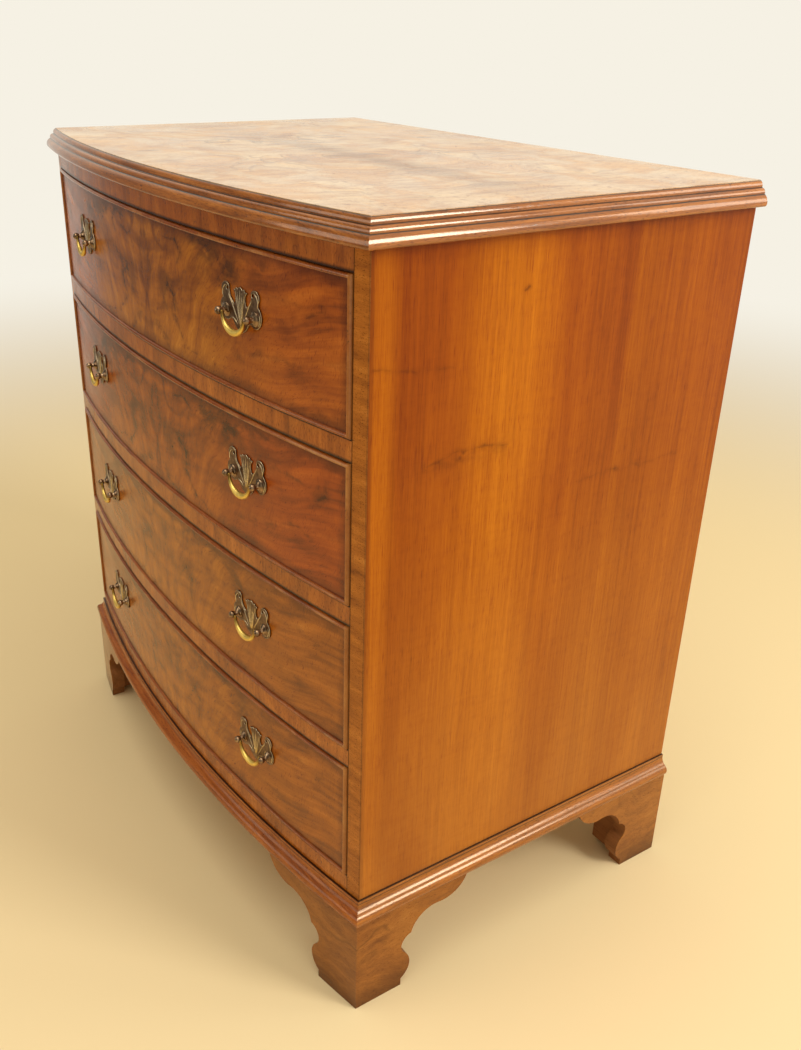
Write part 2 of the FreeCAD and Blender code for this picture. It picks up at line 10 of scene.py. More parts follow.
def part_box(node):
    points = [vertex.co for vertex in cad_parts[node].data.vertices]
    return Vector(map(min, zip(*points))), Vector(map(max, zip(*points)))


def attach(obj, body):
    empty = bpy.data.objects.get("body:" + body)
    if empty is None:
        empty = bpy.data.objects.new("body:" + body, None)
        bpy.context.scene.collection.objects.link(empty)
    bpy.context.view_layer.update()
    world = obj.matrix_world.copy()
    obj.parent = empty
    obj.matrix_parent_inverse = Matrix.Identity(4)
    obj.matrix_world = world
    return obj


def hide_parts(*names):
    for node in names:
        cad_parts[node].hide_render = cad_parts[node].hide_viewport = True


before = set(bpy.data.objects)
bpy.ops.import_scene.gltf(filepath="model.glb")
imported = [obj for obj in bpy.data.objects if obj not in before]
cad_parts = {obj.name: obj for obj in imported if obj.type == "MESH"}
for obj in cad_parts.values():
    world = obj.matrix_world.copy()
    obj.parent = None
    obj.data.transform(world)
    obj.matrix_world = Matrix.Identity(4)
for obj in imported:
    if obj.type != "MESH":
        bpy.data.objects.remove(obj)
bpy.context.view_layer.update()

scene = bpy.context.scene

# ---- sizes, in metres ------------------------------------------------------------------------
mm = 0.001
top_low, top_high = (Vector(corner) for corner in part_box("top_panel"))
side_low = Vector(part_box("side_right")[0])
half_width = top_high.x
back_y = top_high.y
bow_rise = 36 * mm
front_y = top_low.y
corner_y = front_y + bow_rise
bow_radius = (half_width ** 2 + bow_rise ** 2) / (2 * bow_rise)
bow_centre_y = front_y + bow_radius
side_inner_x = side_low.x

top_edge = 0.6 * mm               # bare edge of the top over its moulding
moulding_top = top_high.z - top_edge
top_moulding_height = 22.5 * mm
top_moulding_reach = 11.4 * mm
base_top = side_low.z
base_moulding_height = 26 * mm
base_moulding_reach = 11.7 * mm
base_frame_inset = 24 * mm
foot_proud = 9 * mm
bead_width = 4 * mm
bead_rebate = 7 * mm
bead_proud = 2.5 * mm

handle_x = 189.5 * mm
handle_rise = 6.6 * mm           # post line above the middle of the drawer's opening
opening_height = 134 * mm
front_gap_below = 0.8 * mm
front_thickness = 20 * mm
plate_thickness = 1.5 * mm
post_half_spacing = 22.2 * mm
post_ball_stand = 9.5 * mm
post_ball_radius = 3.75 * mm
shank_radius = 2 * mm
thread_pitch = 0.7 * mm
thread_start = 0.4 * mm
thread_in_front = 1 * mm          # thread that runs on inside the drawer front
thread_past_nut = 2 * mm
nut_corner_radius = 4.62 * mm
nut_face_radius = 4.2 * mm
nut_chamfer = 0.35 * mm
nut_thickness = 3 * mm
bail_outer_radius = 18.5 * mm
bail_end_radius = 1.6 * mm
bail_middle_radius = 3.1 * mm
bail_pin_radius = 1.4 * mm
bail_pin_entry = 1.5 * mm
bail_pin_end_gap = 0.5 * mm
bail_eye_radius = 1.75 * mm

drawers = ("drawer_1", "drawer_2", "drawer_3", "drawer_4")


def drawer_floor(drawer):
    """Level that the drawer runs on."""
    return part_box(drawer + "_front")[0][2] - front_gap_below


# ---- node trees ------------------------------------------------------------------------------
def linear(hex_colour):
    """Linear RGBA of an sRGB hex colour."""
    parts = [int(hex_colour[place:place + 2], 16) / 255 for place in (1, 3, 5)]
    return [part / 12.92 if part <= 0.04045 else ((part + 0.055) / 1.055) ** 2.4
            for part in parts] + [1.0]


def add(tree, kind, inputs=None, stops=None, **settings):
    """Add a node: `inputs` holds its sockets' values, or the nodes and sockets that feed them."""
    made = tree.nodes.new(kind)
    for name, value in settings.items():
        setattr(made, name, value)
    for key, value in (inputs or {}).items():
        live = [socket for socket in made.inputs if socket.enabled]
        socket = live[key] if isinstance(key, int) else next(s for s in live if s.name == key)
        if isinstance(value, bpy.types.Node):
            value = next(output for output in value.outputs if output.enabled)
        if isinstance(value, bpy.types.NodeSocket):
            tree.links.new(value, socket)
        else:
            socket.default_value = linear(value) if str(value).startswith("#") else value
    if stops:
        ramp = made.color_ramp.elements
        while len(ramp) < len(stops):
            ramp.new(1.0)
        for element, (position, colour) in zip(ramp, stops):
            element.position = position
            element.color = linear(colour)
    return made


# Settings of a Mix node: a blend of two numbers, a coat that covers the colour under it, and a
# stain that darkens it.
blend = {"data_type": "FLOAT"}
coat = {"data_type": "RGBA"}
stain = {"data_type": "RGBA", "blend_type": "MULTIPLY"}


# ---- patterns: every one works on a point in millimetres -------------------------------------
def point_in_mm(tree, centre=(0, 0, 0), mirror=None):
    """Object coordinates in mm from `centre` (metres), folded over one axis for matched veneers."""
    place = add(tree, "ShaderNodeTexCoord").outputs["Object"]
    moved = add(tree, "ShaderNodeVectorMath", {0: place, 1: centre}, operation="SUBTRACT")
    point = add(tree, "ShaderNodeVectorMath", {0: moved, "Scale": 1 / mm}, operation="SCALE")
    if mirror is None:
        return point
    folded = add(tree, "ShaderNodeVectorMath", {0: point}, operation="ABSOLUTE")
    plain = add(tree, "ShaderNodeSeparateXYZ", {0: point})
    turned = add(tree, "ShaderNodeSeparateXYZ", {0: folded})
    parts = [(turned if axis == mirror else plain).outputs[axis] for axis in range(3)]
    return add(tree, "ShaderNodeCombineXYZ", {0: parts[0], 1: parts[1], 2: parts[2]})


def noise(tree, point, sizes, seed, detail=3.0, roughness=0.55):
    """Smooth noise whose lumps are `sizes` (x, y, z) mm across; its centre value is 0.5."""
    scaled = add(tree, "ShaderNodeMapping", {
        "Vector": point, "Location": (seed * 7.31, seed * 3.17, seed * 5.53),
        "Scale": [1 / size for size in sizes]})
    return add(tree, "ShaderNodeTexNoise", {
        "Vector": scaled, "Scale": 1.0, "Detail": detail, "Roughness": roughness})


def warped(tree, point, size, shift, seed, detail=1.5, source=None):
    """The point pushed about by up to `shift` mm in swirls `size` mm across.

    The swirls follow `source`, which keeps a folded point's two halves from being equal."""
    swirl = noise(tree, source or point, (size, size, size), seed, detail, 0.5)
    centred = add(tree, "ShaderNodeVectorMath", {0: swirl.outputs["Color"], 1: (0.5, 0.5, 0.5)},
                  operation="SUBTRACT")
    push = add(tree, "ShaderNodeVectorMath", {0: centred, "Scale": 2.0 * shift},
               operation="SCALE")
    return add(tree, "ShaderNodeVectorMath", {0: point, 1: push}, operation="ADD")


def proud_of_bow(tree):
    """Distance in mm that a place stands in front of the bowed carcass face."""
    point = point_in_mm(tree, (0, bow_centre_y, 0))
    flat = add(tree, "ShaderNodeVectorMath", {0: point, 1: (1, 1, 0)}, operation="MULTIPLY")
    radius = add(tree, "ShaderNodeVectorMath", {0: flat}, operation="LENGTH").outputs["Value"]
    return add(tree, "ShaderNodeMath", {0: radius, 1: bow_radius / mm}, operation="SUBTRACT")


def finished(name, build, bump_height=0.05, **shader):
    """Material whose `build(tree)` gives its colour, its roughness and its height in mm."""
    material = bpy.data.materials.new(name)
    material.use_nodes = True
    tree = material.node_tree
    tree.nodes.clear()
    colour, roughness, height = build(tree)
    bump = add(tree, "ShaderNodeBump", {"Strength": 1.0, "Distance": bump_height * mm,
                                        "Height": height})
    surface = add(tree, "ShaderNodeBsdfPrincipled", {
        "Base Color": colour, "Roughness": roughness, "Normal": bump})
    for socket, value in shader.items():
        surface.inputs[socket.replace("_", " ")].default_value = value
    add(tree, "ShaderNodeOutputMaterial", {"Surface": surface})
    return material


# ---- woods -----------------------------------------------------------------------------------
# Tints of the sheen, from old shellac to clear polish.
amber = (1.0, 0.84, 0.62, 1.0)
pale_amber = (1.0, 0.92, 0.80, 1.0)
clear = (1.0, 1.0, 1.0, 1.0)
bare_roughness = 0.62             # of planed wood without polish


def polished(name, build, gloss=(0.16, 0.27), height=0.03, specular=0.32, tint=amber):
    """French polished wood: a soft uneven sheen over the colour that `build(tree)` gives.

    `build` also gives the share of the surface that is polished, and the rest is bare wood."""
    def whole(tree):
        colour, relief, shine = build(tree)
        smear = noise(tree, point_in_mm(tree), (70, 70, 45), 7, 3.0, 0.6)
        roughness = add(tree, "ShaderNodeMapRange", {
            "Value": smear, "From Min": 0.3, "From Max": 0.7, "To Min": gloss[0],
            "To Max": gloss[1]})
        rough = add(tree, "ShaderNodeMix", {
            "Factor": shine, "A": bare_roughness, "B": roughness}, **blend)
        return colour, rough, relief
    return finished(name, whole, height, Specular_IOR_Level=specular, Specular_Tint=tint)


def pores(tree, point, sizes, seed):
    """Open walnut pores, short dark flecks along the grain; 1 in a pore.

    Real ones are 0.1 to 0.3 mm wide, and these are drawn as coarse as they need to show."""
    flecks = noise(tree, point, sizes, seed, 1.0, 0.4)
    return add(tree, "ShaderNodeMapRange", {"Value": flecks, "From Min": 0.60, "From Max": 0.74})


def running(axis, across, along=160):
    """Sizes (x, y, z) in mm of streaks that run along one axis."""
    return [along if place == axis else across for place in range(3)]


def grained(tree, point, grain, seed, tones, contrast=0.5, pore_tone="#6e4426"):
    """Colour and pore depth of plain wood whose streaks are `grain` (x, y, z) mm."""
    streak = noise(tree, point, grain, seed, 5.0, 0.6)
    fine = noise(tree, point, [size / 5 for size in grain], seed + 1, 4.0, 0.6)
    tone = add(tree, "ShaderNodeMix", {"Factor": contrast, "A": streak, "B": fine}, **blend)
    colour = add(tree, "ShaderNodeValToRGB", {"Fac": tone}, stops=tones)
    open_pores = pores(tree, point, [max(0.4, size / 30) for size in grain], seed + 2)
    colour = add(tree, "ShaderNodeMix", {
        "Factor": open_pores, "A": colour, "B": pore_tone}, **stain)
    relief = add(tree, "ShaderNodeMath", {0: fine, 1: open_pores}, operation="SUBTRACT")
    return colour, relief


def veneered(tree, colour, relief, share, tones, grain, seed):
    """Veneer where `share` is 1 and the bare board under it elsewhere."""
    board, _ = grained(tree, warped(tree, point_in_mm(tree), 160, 6, seed), grain, seed,
                       tones, 0.35, bare_pore)
    laid = add(tree, "ShaderNodeMix", {"Factor": share, "A": board, "B": colour}, **coat)
    return laid, relief, share


def outside(tree):
    """Distance in mm from the middle plane of the chest."""
    across = add(tree, "ShaderNodeSeparateXYZ", {0: point_in_mm(tree)}).outputs["X"]
    return add(tree, "ShaderNodeMath", {0: across}, operation="ABSOLUTE")


def from_line(tree, point, start, end):
    """Distance in mm from a line between two (u, z) places."""
    along = Vector((end[0] - start[0], 0, end[1] - start[1]))
    away = add(tree, "ShaderNodeVectorMath", {0: point, 1: (start[0], 0, start[1])},
               operation="SUBTRACT")
    flat = add(tree, "ShaderNodeVectorMath", {0: away, 1: (1, 0, 1)}, operation="MULTIPLY")
    share = add(tree, "ShaderNodeVectorMath", {0: flat, 1: along / along.length_squared},
                operation="DOT_PRODUCT").outputs["Value"]
    share = add(tree, "ShaderNodeMath", {0: share, 1: 0.0}, operation="ADD", use_clamp=True)
    foot = add(tree, "ShaderNodeVectorMath", {0: along, "Scale": share}, operation="SCALE")
    apart = add(tree, "ShaderNodeVectorMath", {0: flat, 1: foot}, operation="DISTANCE")
    return apart.outputs["Value"]


def drawn_marks(tree, colour, point, marks, shade, strength=1.0):
    """Colour darkened along lines given as (start, end, width, haze, depth) in mm: deepest on
    the line, and fainter in the haze round it. The lines come and go, at `strength` at most."""
    uneven = noise(tree, point, (16, 16, 10), 77, 3.0, 0.6)
    firm = add(tree, "ShaderNodeMapRange", {"Value": uneven, "From Min": 0.38, "From Max": 0.60,
                                            "To Min": 0.15, "To Max": strength})
    for start, end, width, haze, depth in marks:
        apart = from_line(tree, point, start, end)
        for reach, share in ((width, 0.65), (haze, 0.4)):
            amount = add(tree, "ShaderNodeMapRange", {
                "Value": apart, "From Min": 0.2 * reach, "From Max": reach,
                "To Min": depth * share, "To Max": 0.0}, interpolation_type="SMOOTHSTEP")
            amount = add(tree, "ShaderNodeMath", {0: amount, 1: firm}, operation="MULTIPLY")
            colour = add(tree, "ShaderNodeMix", {
                "Factor": amount, "A": colour, "B": shade}, **stain)
    return colour


def dark_lines(tree, colour, distance, lines, shade="#20100a", strength=0.9):
    """Colour darkened in thin lines where the distance is near each (middle, width) in mm."""
    for middle, width in lines:
        away = add(tree, "ShaderNodeMath", {0: distance, 1: middle}, operation="SUBTRACT")
        apart = add(tree, "ShaderNodeMath", {0: away}, operation="ABSOLUTE")
        dark = add(tree, "ShaderNodeMapRange", {
            "Value": apart, "From Min": 0.25 * width, "From Max": width, "To Min": strength,
            "To Max": 0.0})
        colour = add(tree, "ShaderNodeMix", {"Factor": dark, "A": colour, "B": shade}, **stain)
    return colour


bare_pore = "#c8a884"
veneer = 0.9                      # thickness in mm
burr_tones = [(0.31, "#4c2408"), (0.40, "#77400b"), (0.48, "#99580f"), (0.56, "#ad6a14"),
              (0.65, "#c07e26"), (0.76, "#d0923c")]
golden_tones = [(0.27, "#5e300b"), (0.38, "#84490f"), (0.48, "#9e5e14"), (0.57, "#b06f19"),
                (0.68, "#bf7d26"), (0.80, "#cb8d38")]
red_tones = [(0.28, "#70340e"), (0.42, "#994c12"), (0.54, "#b05e18"), (0.70, "#c07026")]
brown_tones = [(0.28, "#6c3a0e"), (0.42, "#8f5212"), (0.54, "#a8641c"), (0.70, "#be7c2e")]
foot_tones = [(0.28, "#6c3c1a"), (0.44, "#86501f"), (0.55, "#9a6026"), (0.70, "#ae7434")]
rail_tones = [(0.28, "#784218"), (0.42, "#9a5a20"), (0.55, "#b06a26"), (0.72, "#c88034")]
side_tones = [(0.28, "#a05c0c"), (0.44, "#b0680e"), (0.54, "#b97012"), (0.66, "#c27a18"),
              (0.78, "#ca8626")]
moulding_tones = [(0.28, "#5a3212"), (0.44, "#884c1a"), (0.58, "#a66426"), (0.75, "#c08040")]
base_tones = [(0.28, "#5e2a0c"), (0.44, "#894312"), (0.58, "#a3581a"), (0.75, "#bc7028")]
# Lighter gold copy of the base tones for the base moulding's side runs: painted light.
lit_side_base_tones = [(0.28, "#603010"), (0.44, "#8a4e18"), (0.58, "#a66224"), (0.75, "#be7a32")]
bead_tones = [(0.28, "#62280a"), (0.50, "#8a4414"), (0.72, "#a85e20")]
top_tones = [(0.28, "#9a724c"), (0.42, "#bf9b76"), (0.52, "#d4b48e"), (0.62, "#e0c298"),
             (0.78, "#ecd4a8")]
core_tones = [(0.30, "#6e4422"), (0.50, "#875630"), (0.70, "#9c683c")]
lining_tones = [(0.30, "#a97c46"), (0.50, "#c0955c"), (0.70, "#d0aa74")]
pine_tones = [(0.30, "#b98d50"), (0.50, "#cfa968"), (0.70, "#dfc084")]
ply_tones = [(0.30, "#9f7642"), (0.50, "#b78f5a"), (0.70, "#c9a876")]
# Woods that stay bare, as (name, streaks' width in mm, tones, tone of the pores, seed).
bare_woods = {
    "drawer_lining": ("lining_hardwood", 6, lining_tones, bare_pore, 18),
    "carcass_softwood": ("planed_pine", 7, pine_tones, "#ecd8b0", 19),
    "plain_panel": ("panel_ply", 9, ply_tones, bare_pore, 20)}
# Axis of the grain in the pieces that don't run from side to side.
grain_axes = {"sides": 1, "runners": 1, "kickers": 1, "back_panel": 2}


def figured(tree, point, seed, tones, swirl=34.0, ink=0.6):
    """Burr: soft clouds and curling streaks, with thin smoky lines in patches.

    The eye gets drifts of gold and brown some 60 mm wide, broken by hair-thin dark contours."""
    bent = warped(tree, point, 130, swirl, seed)
    curled = warped(tree, bent, 30, 8, seed + 1, 2.5)
    clouds = noise(tree, curled, (70, 70, 48), seed + 2, 3.0, 0.5)
    streak = noise(tree, curled, (44, 44, 10), seed + 3, 5.0, 0.6)
    fine = noise(tree, curled, (12, 12, 1.8), seed + 4, 4.0, 0.62)
    tone = add(tree, "ShaderNodeMix", {"Factor": 0.5, "A": clouds, "B": streak}, **blend)
    tone = add(tree, "ShaderNodeMix", {"Factor": 0.22, "A": tone, "B": fine}, **blend)
    colour = add(tree, "ShaderNodeValToRGB", {"Fac": tone}, stops=tones)
    field = noise(tree, curled, (95, 95, 95), seed + 5, 1.8, 0.5)
    lines = add(tree, "ShaderNodeValToRGB", {"Fac": field}, stops=[
        (0.400, "#ffffff"), (0.425, "#8a5f40"), (0.440, "#ffffff"), (0.490, "#ffffff"),
        (0.506, "#4c2814"), (0.530, "#ffffff"), (0.60, "#b48660"), (0.66, "#ffffff")])
    patches = noise(tree, bent, (110, 110, 80), seed + 6, 2.0, 0.5)
    strength = add(tree, "ShaderNodeMapRange", {
        "Value": patches, "From Min": 0.46, "From Max": 0.62, "To Max": ink})
    colour = add(tree, "ShaderNodeMix", {"Factor": strength, "A": colour, "B": lines}, **stain)
    return colour, fine, curled


def with_pores(tree, colour, fine, point, sizes, seed):
    """Colour and depth of a figured veneer whose pores lie open under the polish."""
    open_pores = pores(tree, point, sizes, seed)
    relief = add(tree, "ShaderNodeMath", {0: fine, 1: open_pores}, operation="SUBTRACT")
    colour = add(tree, "ShaderNodeMix", {
        "Factor": open_pores, "A": colour, "B": "#b08a68"}, **stain)
    return colour, relief


# Dark figure that recurs in every drawer's leaf, as (start, end, width, haze, depth) in mm from
# the front's middle, because the leaves were cut one after another.
leaf_marks = [
    ((37, -17), (54, 3), 2.4, 12, 0.6), ((54, 3), (66, -4), 3.2, 12, 0.8),
    ((66, -4), (62, -26), 3.0, 14, 0.8), ((62, -30), (82, -50), 2.2, 9, 0.5),
    ((82, -50), (122, -53), 2.0, 8, 0.45), ((50, 50), (76, 55), 2.2, 8, 0.6),
    ((76, 55), (87, 46), 2.0, 8, 0.6), ((87, 46), (80, 34), 2.4, 9, 0.5),
    ((116, 54), (165, 42), 16, 32, 0.6), ((165, 42), (228, 52), 10, 26, 0.45),
    ((175, -37), (272, -18), 4.0, 14, 0.4), ((180, 20), (300, 36), 3.5, 12, 0.35),
    ((287, 25), (299, 31), 2.6, 9, 0.6), ((6, 45), (14, 8), 5.0, 20, 0.5),
    ((18, -42), (46, -58), 6.0, 20, 0.5)]


# Tint of each drawer's leaf and strength of its dark figure, from the top drawer down.
leaf_shades = ("#fffaf0", "#f2d2b4", "#fff0cc", "#fff0cc")
figure_strengths = (1.1, 1.4, 0.7, 0.6)
leaf_step = 7                     # mm of the log between one drawer's leaf and the next


def drawer_veneer(drawer, leaf):
    """Burr walnut leaf folded about the middle, redder and straighter towards each end.

    Drawers share one figure that drifts from leaf to leaf, and polish lies dark at the bead."""
    low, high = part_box(drawer + "_front")
    upper = leaf < 2
    leaf_tones = burr_tones if upper else golden_tones
    end_tones = red_tones if upper else brown_tones
    span = (high[0] - low[0]) / 2 / mm
    rise = (high[2] - low[2]) / 2 / mm

    def build(tree):
        centre = (0, front_y + leaf_step * leaf * mm, (low[2] + high[2]) / 2)
        point = point_in_mm(tree, centre, mirror=0)
        parts = add(tree, "ShaderNodeSeparateXYZ", {0: point}).outputs
        drifted = warped(tree, point, 62, 13, 31 + leaf, source=point_in_mm(tree, centre))
        upright = add(tree, "ShaderNodeMapping", {
            "Vector": drifted, "Rotation": (0, math.radians(66), 0),
            "Scale": (0.62, 0.62, 0.62)})
        colour, fine, curled = figured(tree, upright, 11, leaf_tones,
                                       ink=0.5 if upper else 0.3)

        tilt = add(tree, "ShaderNodeMapping", {"Vector": point,
                                               "Rotation": (0, math.radians(9), 0)})
        gentle = warped(tree, tilt, 120, 13, 18)
        drawn = noise(tree, gentle, (120, 120, 7), 19, 5.0, 0.62)
        wide = noise(tree, gentle, (60, 60, 26), 20, 3.0, 0.5)
        tone = add(tree, "ShaderNodeMix", {"Factor": 0.4, "A": drawn, "B": wide}, **blend)
        plain = add(tree, "ShaderNodeValToRGB", {"Fac": tone}, stops=end_tones)
        calm = add(tree, "ShaderNodeMapRange", {
            "Value": parts["X"], "From Min": 110.0, "From Max": 270.0},
            interpolation_type="SMOOTHSTEP")
        colour = add(tree, "ShaderNodeMix", {"Factor": calm, "A": colour, "B": plain}, **coat)
        smoke = noise(tree, gentle, (95, 95, 30), 21, 4.0, 0.6)
        smoky = add(tree, "ShaderNodeMapRange", {"Value": smoke, "From Min": 0.46,
                                                 "From Max": 0.64, "To Max": 0.6})
        colour = add(tree, "ShaderNodeMix", {
            "Factor": smoky, "A": colour, "B": "#9a7c62"}, **stain)
        colour = add(tree, "ShaderNodeMix", {
            "Factor": 1.0, "A": colour, "B": leaf_shades[leaf]}, **stain)
        shaken = warped(tree, warped(tree, drifted, 60, 9, 23 + leaf), 14, 2.2, 23)
        colour = drawn_marks(tree, colour, shaken, leaf_marks, "#4a2410",
                             figure_strengths[leaf])
        colour, relief = with_pores(tree, colour, fine, curled, (3.2, 3.2, 0.3), 24)

        height = add(tree, "ShaderNodeMath", {0: parts["Z"]}, operation="ABSOLUTE")
        from_side = add(tree, "ShaderNodeMath", {0: span, 1: parts["X"]}, operation="SUBTRACT")
        from_edge = add(tree, "ShaderNodeMath", {0: rise, 1: height}, operation="SUBTRACT")
        nearest = add(tree, "ShaderNodeMath", {0: from_side, 1: from_edge}, operation="MINIMUM")
        ragged = noise(tree, point, (25, 25, 25), 27 + leaf, 3.0, 0.6)
        gathered = add(tree, "ShaderNodeMath", {0: ragged, 1: 14.0, 2: nearest},
                       operation="MULTIPLY_ADD")
        dark = add(tree, "ShaderNodeMapRange", {
            "Value": gathered, "From Min": 9.0, "From Max": 22.0, "To Min": 0.8, "To Max": 0.0})
        colour = add(tree, "ShaderNodeMix", {
            "Factor": dark, "A": colour, "B": "#7c4c2c"}, **stain)
        face = add(tree, "ShaderNodeMath", {0: proud_of_bow(tree), 1: -veneer},
                   operation="GREATER_THAN")
        return veneered(tree, colour, relief, face, core_tones, running(0, 7), 29)
    return polished(drawer + "_burr_walnut", build, specular=0.5)


def top_veneer():
    """Burr walnut on the top, faded by the light, with a smoky drift where its leaves meet."""
    seam_y = -7 * mm

    def build(tree):
        point = point_in_mm(tree, (0, seam_y, 0), mirror=1)
        parts = add(tree, "ShaderNodeSeparateXYZ", {0: point}).outputs
        streaked = add(tree, "ShaderNodeMapping", {
            "Vector": point, "Rotation": (0, math.radians(80), math.radians(12))})
        colour, fine, curled = figured(tree, streaked, 90, top_tones, swirl=55, ink=0.45)
        cells = add(tree, "ShaderNodeTexVoronoi", {"Vector": curled, "Scale": 1 / 11.0})
        eyes = add(tree, "ShaderNodeMapRange", {
            "Value": cells, "From Min": 0.10, "From Max": 0.34, "To Min": 1.0, "To Max": 0.0})
        right = add(tree, "ShaderNodeMapRange", {
            "Value": parts["X"], "From Min": 60.0, "From Max": 240.0, "To Max": 0.6})
        clusters = noise(tree, point, (60, 60, 60), 97, 2.0, 0.5)
        crowd = add(tree, "ShaderNodeMapRange", {"Value": clusters, "From Min": 0.46,
                                                 "From Max": 0.62})
        amount = add(tree, "ShaderNodeMath", {0: eyes, 1: right}, operation="MULTIPLY")
        amount = add(tree, "ShaderNodeMath", {0: amount, 1: crowd}, operation="MULTIPLY")
        colour = add(tree, "ShaderNodeMix", {
            "Factor": amount, "A": colour, "B": "#8a5c38"}, **stain)

        glows = noise(tree, curled, (60, 34, 60), 96, 3.0, 0.6)
        glow = add(tree, "ShaderNodeMapRange", {"Value": glows, "From Min": 0.44,
                                                "From Max": 0.60, "To Max": 0.7})
        colour = add(tree, "ShaderNodeMix", {
            "Factor": glow, "A": colour, "B": "#f8d8a0"}, **stain)
        wander = noise(tree, point, (70, 70, 70), 95, 4.0, 0.65)
        drift = add(tree, "ShaderNodeMath", {0: wander, 1: 60.0, 2: parts["Y"]},
                    operation="MULTIPLY_ADD")
        streak = add(tree, "ShaderNodeMapRange", {
            "Value": drift, "From Min": 24.0, "From Max": 74.0, "To Min": 0.62, "To Max": 0.0},
            interpolation_type="SMOOTHSTEP")
        across = add(tree, "ShaderNodeMath", {0: parts["X"], 1: 60.0}, operation="SUBTRACT")
        across = add(tree, "ShaderNodeMath", {0: across}, operation="ABSOLUTE")
        fade = add(tree, "ShaderNodeMapRange", {
            "Value": across, "From Min": 60.0, "From Max": 280.0, "To Min": 1.0, "To Max": 0.25})
        amount = add(tree, "ShaderNodeMath", {0: streak, 1: fade}, operation="MULTIPLY")
        colour = add(tree, "ShaderNodeMix", {
            "Factor": amount, "A": colour, "B": "#a08c7c"}, **stain)
        colour, relief = with_pores(tree, colour, fine, curled, (3.2, 0.5, 3.2), 98)
        face = add(tree, "ShaderNodeMath", {0: parts["Z"], 1: top_high.z / mm - veneer},
                   operation="GREATER_THAN")
        return veneered(tree, colour, relief, face, pine_tones, running(0, 7), 99)
    return polished("faded_burr_walnut", build, specular=0.9, tint=clear)


# Depth shares and tints of the leaves on each side, from the front corner to the back.
leaf_bands = [
    (0.004, "#a4785a"), (0.014, "#f0dcb4"), (0.042, "#ead4a8"), (0.072, "#c8a074"),
    (0.110, "#d2ae82"), (0.185, "#dcbc8e"), (0.250, "#f0dcac"), (0.330, "#fff4cc"),
    (0.400, "#f8e8ba"), (0.480, "#e2c498"), (0.570, "#dcbe92"), (0.640, "#cdaa7e"),
    (0.664, "#e0c89a"), (0.730, "#d8bc90"), (0.860, "#e0c496"), (0.990, "#d6b68a")]
leaf_span = 432.0                 # mm that the bands share out, from the corner to the back
leaf_waver = 9.0                  # mm that the joints between the leaves wander
# Pin knots and the dark veins between them, as lines at (depth, height above the floor) in mm.
side_marks = [
    ((4, 684), (44, 677), 1.6, 5, 0.4), ((44, 677), (84, 674), 1.4, 5, 0.25),
    ((60, 592), (72, 594), 1.8, 6, 0.5), ((72, 594), (92, 600), 1.2, 5, 0.35),
    ((94, 592), (98, 596), 2.6, 7, 0.6), ((98, 598), (120, 598), 1.4, 5, 0.4),
    ((120, 598), (148, 594), 1.2, 4, 0.35), ((60, 590), (140, 594), 8, 24, 0.25),
    ((233, 538), (286, 543), 1.2, 5, 0.25), ((286, 543), (291, 540), 2.2, 6, 0.5),
    ((310, 541), (318, 539), 2.2, 6, 0.5), ((318, 539), (366, 541), 1.0, 4, 0.2),
    ((366, 541), (374, 539), 1.8, 5, 0.45), ((153, 728), (157, 731), 1.6, 4, 0.8)]


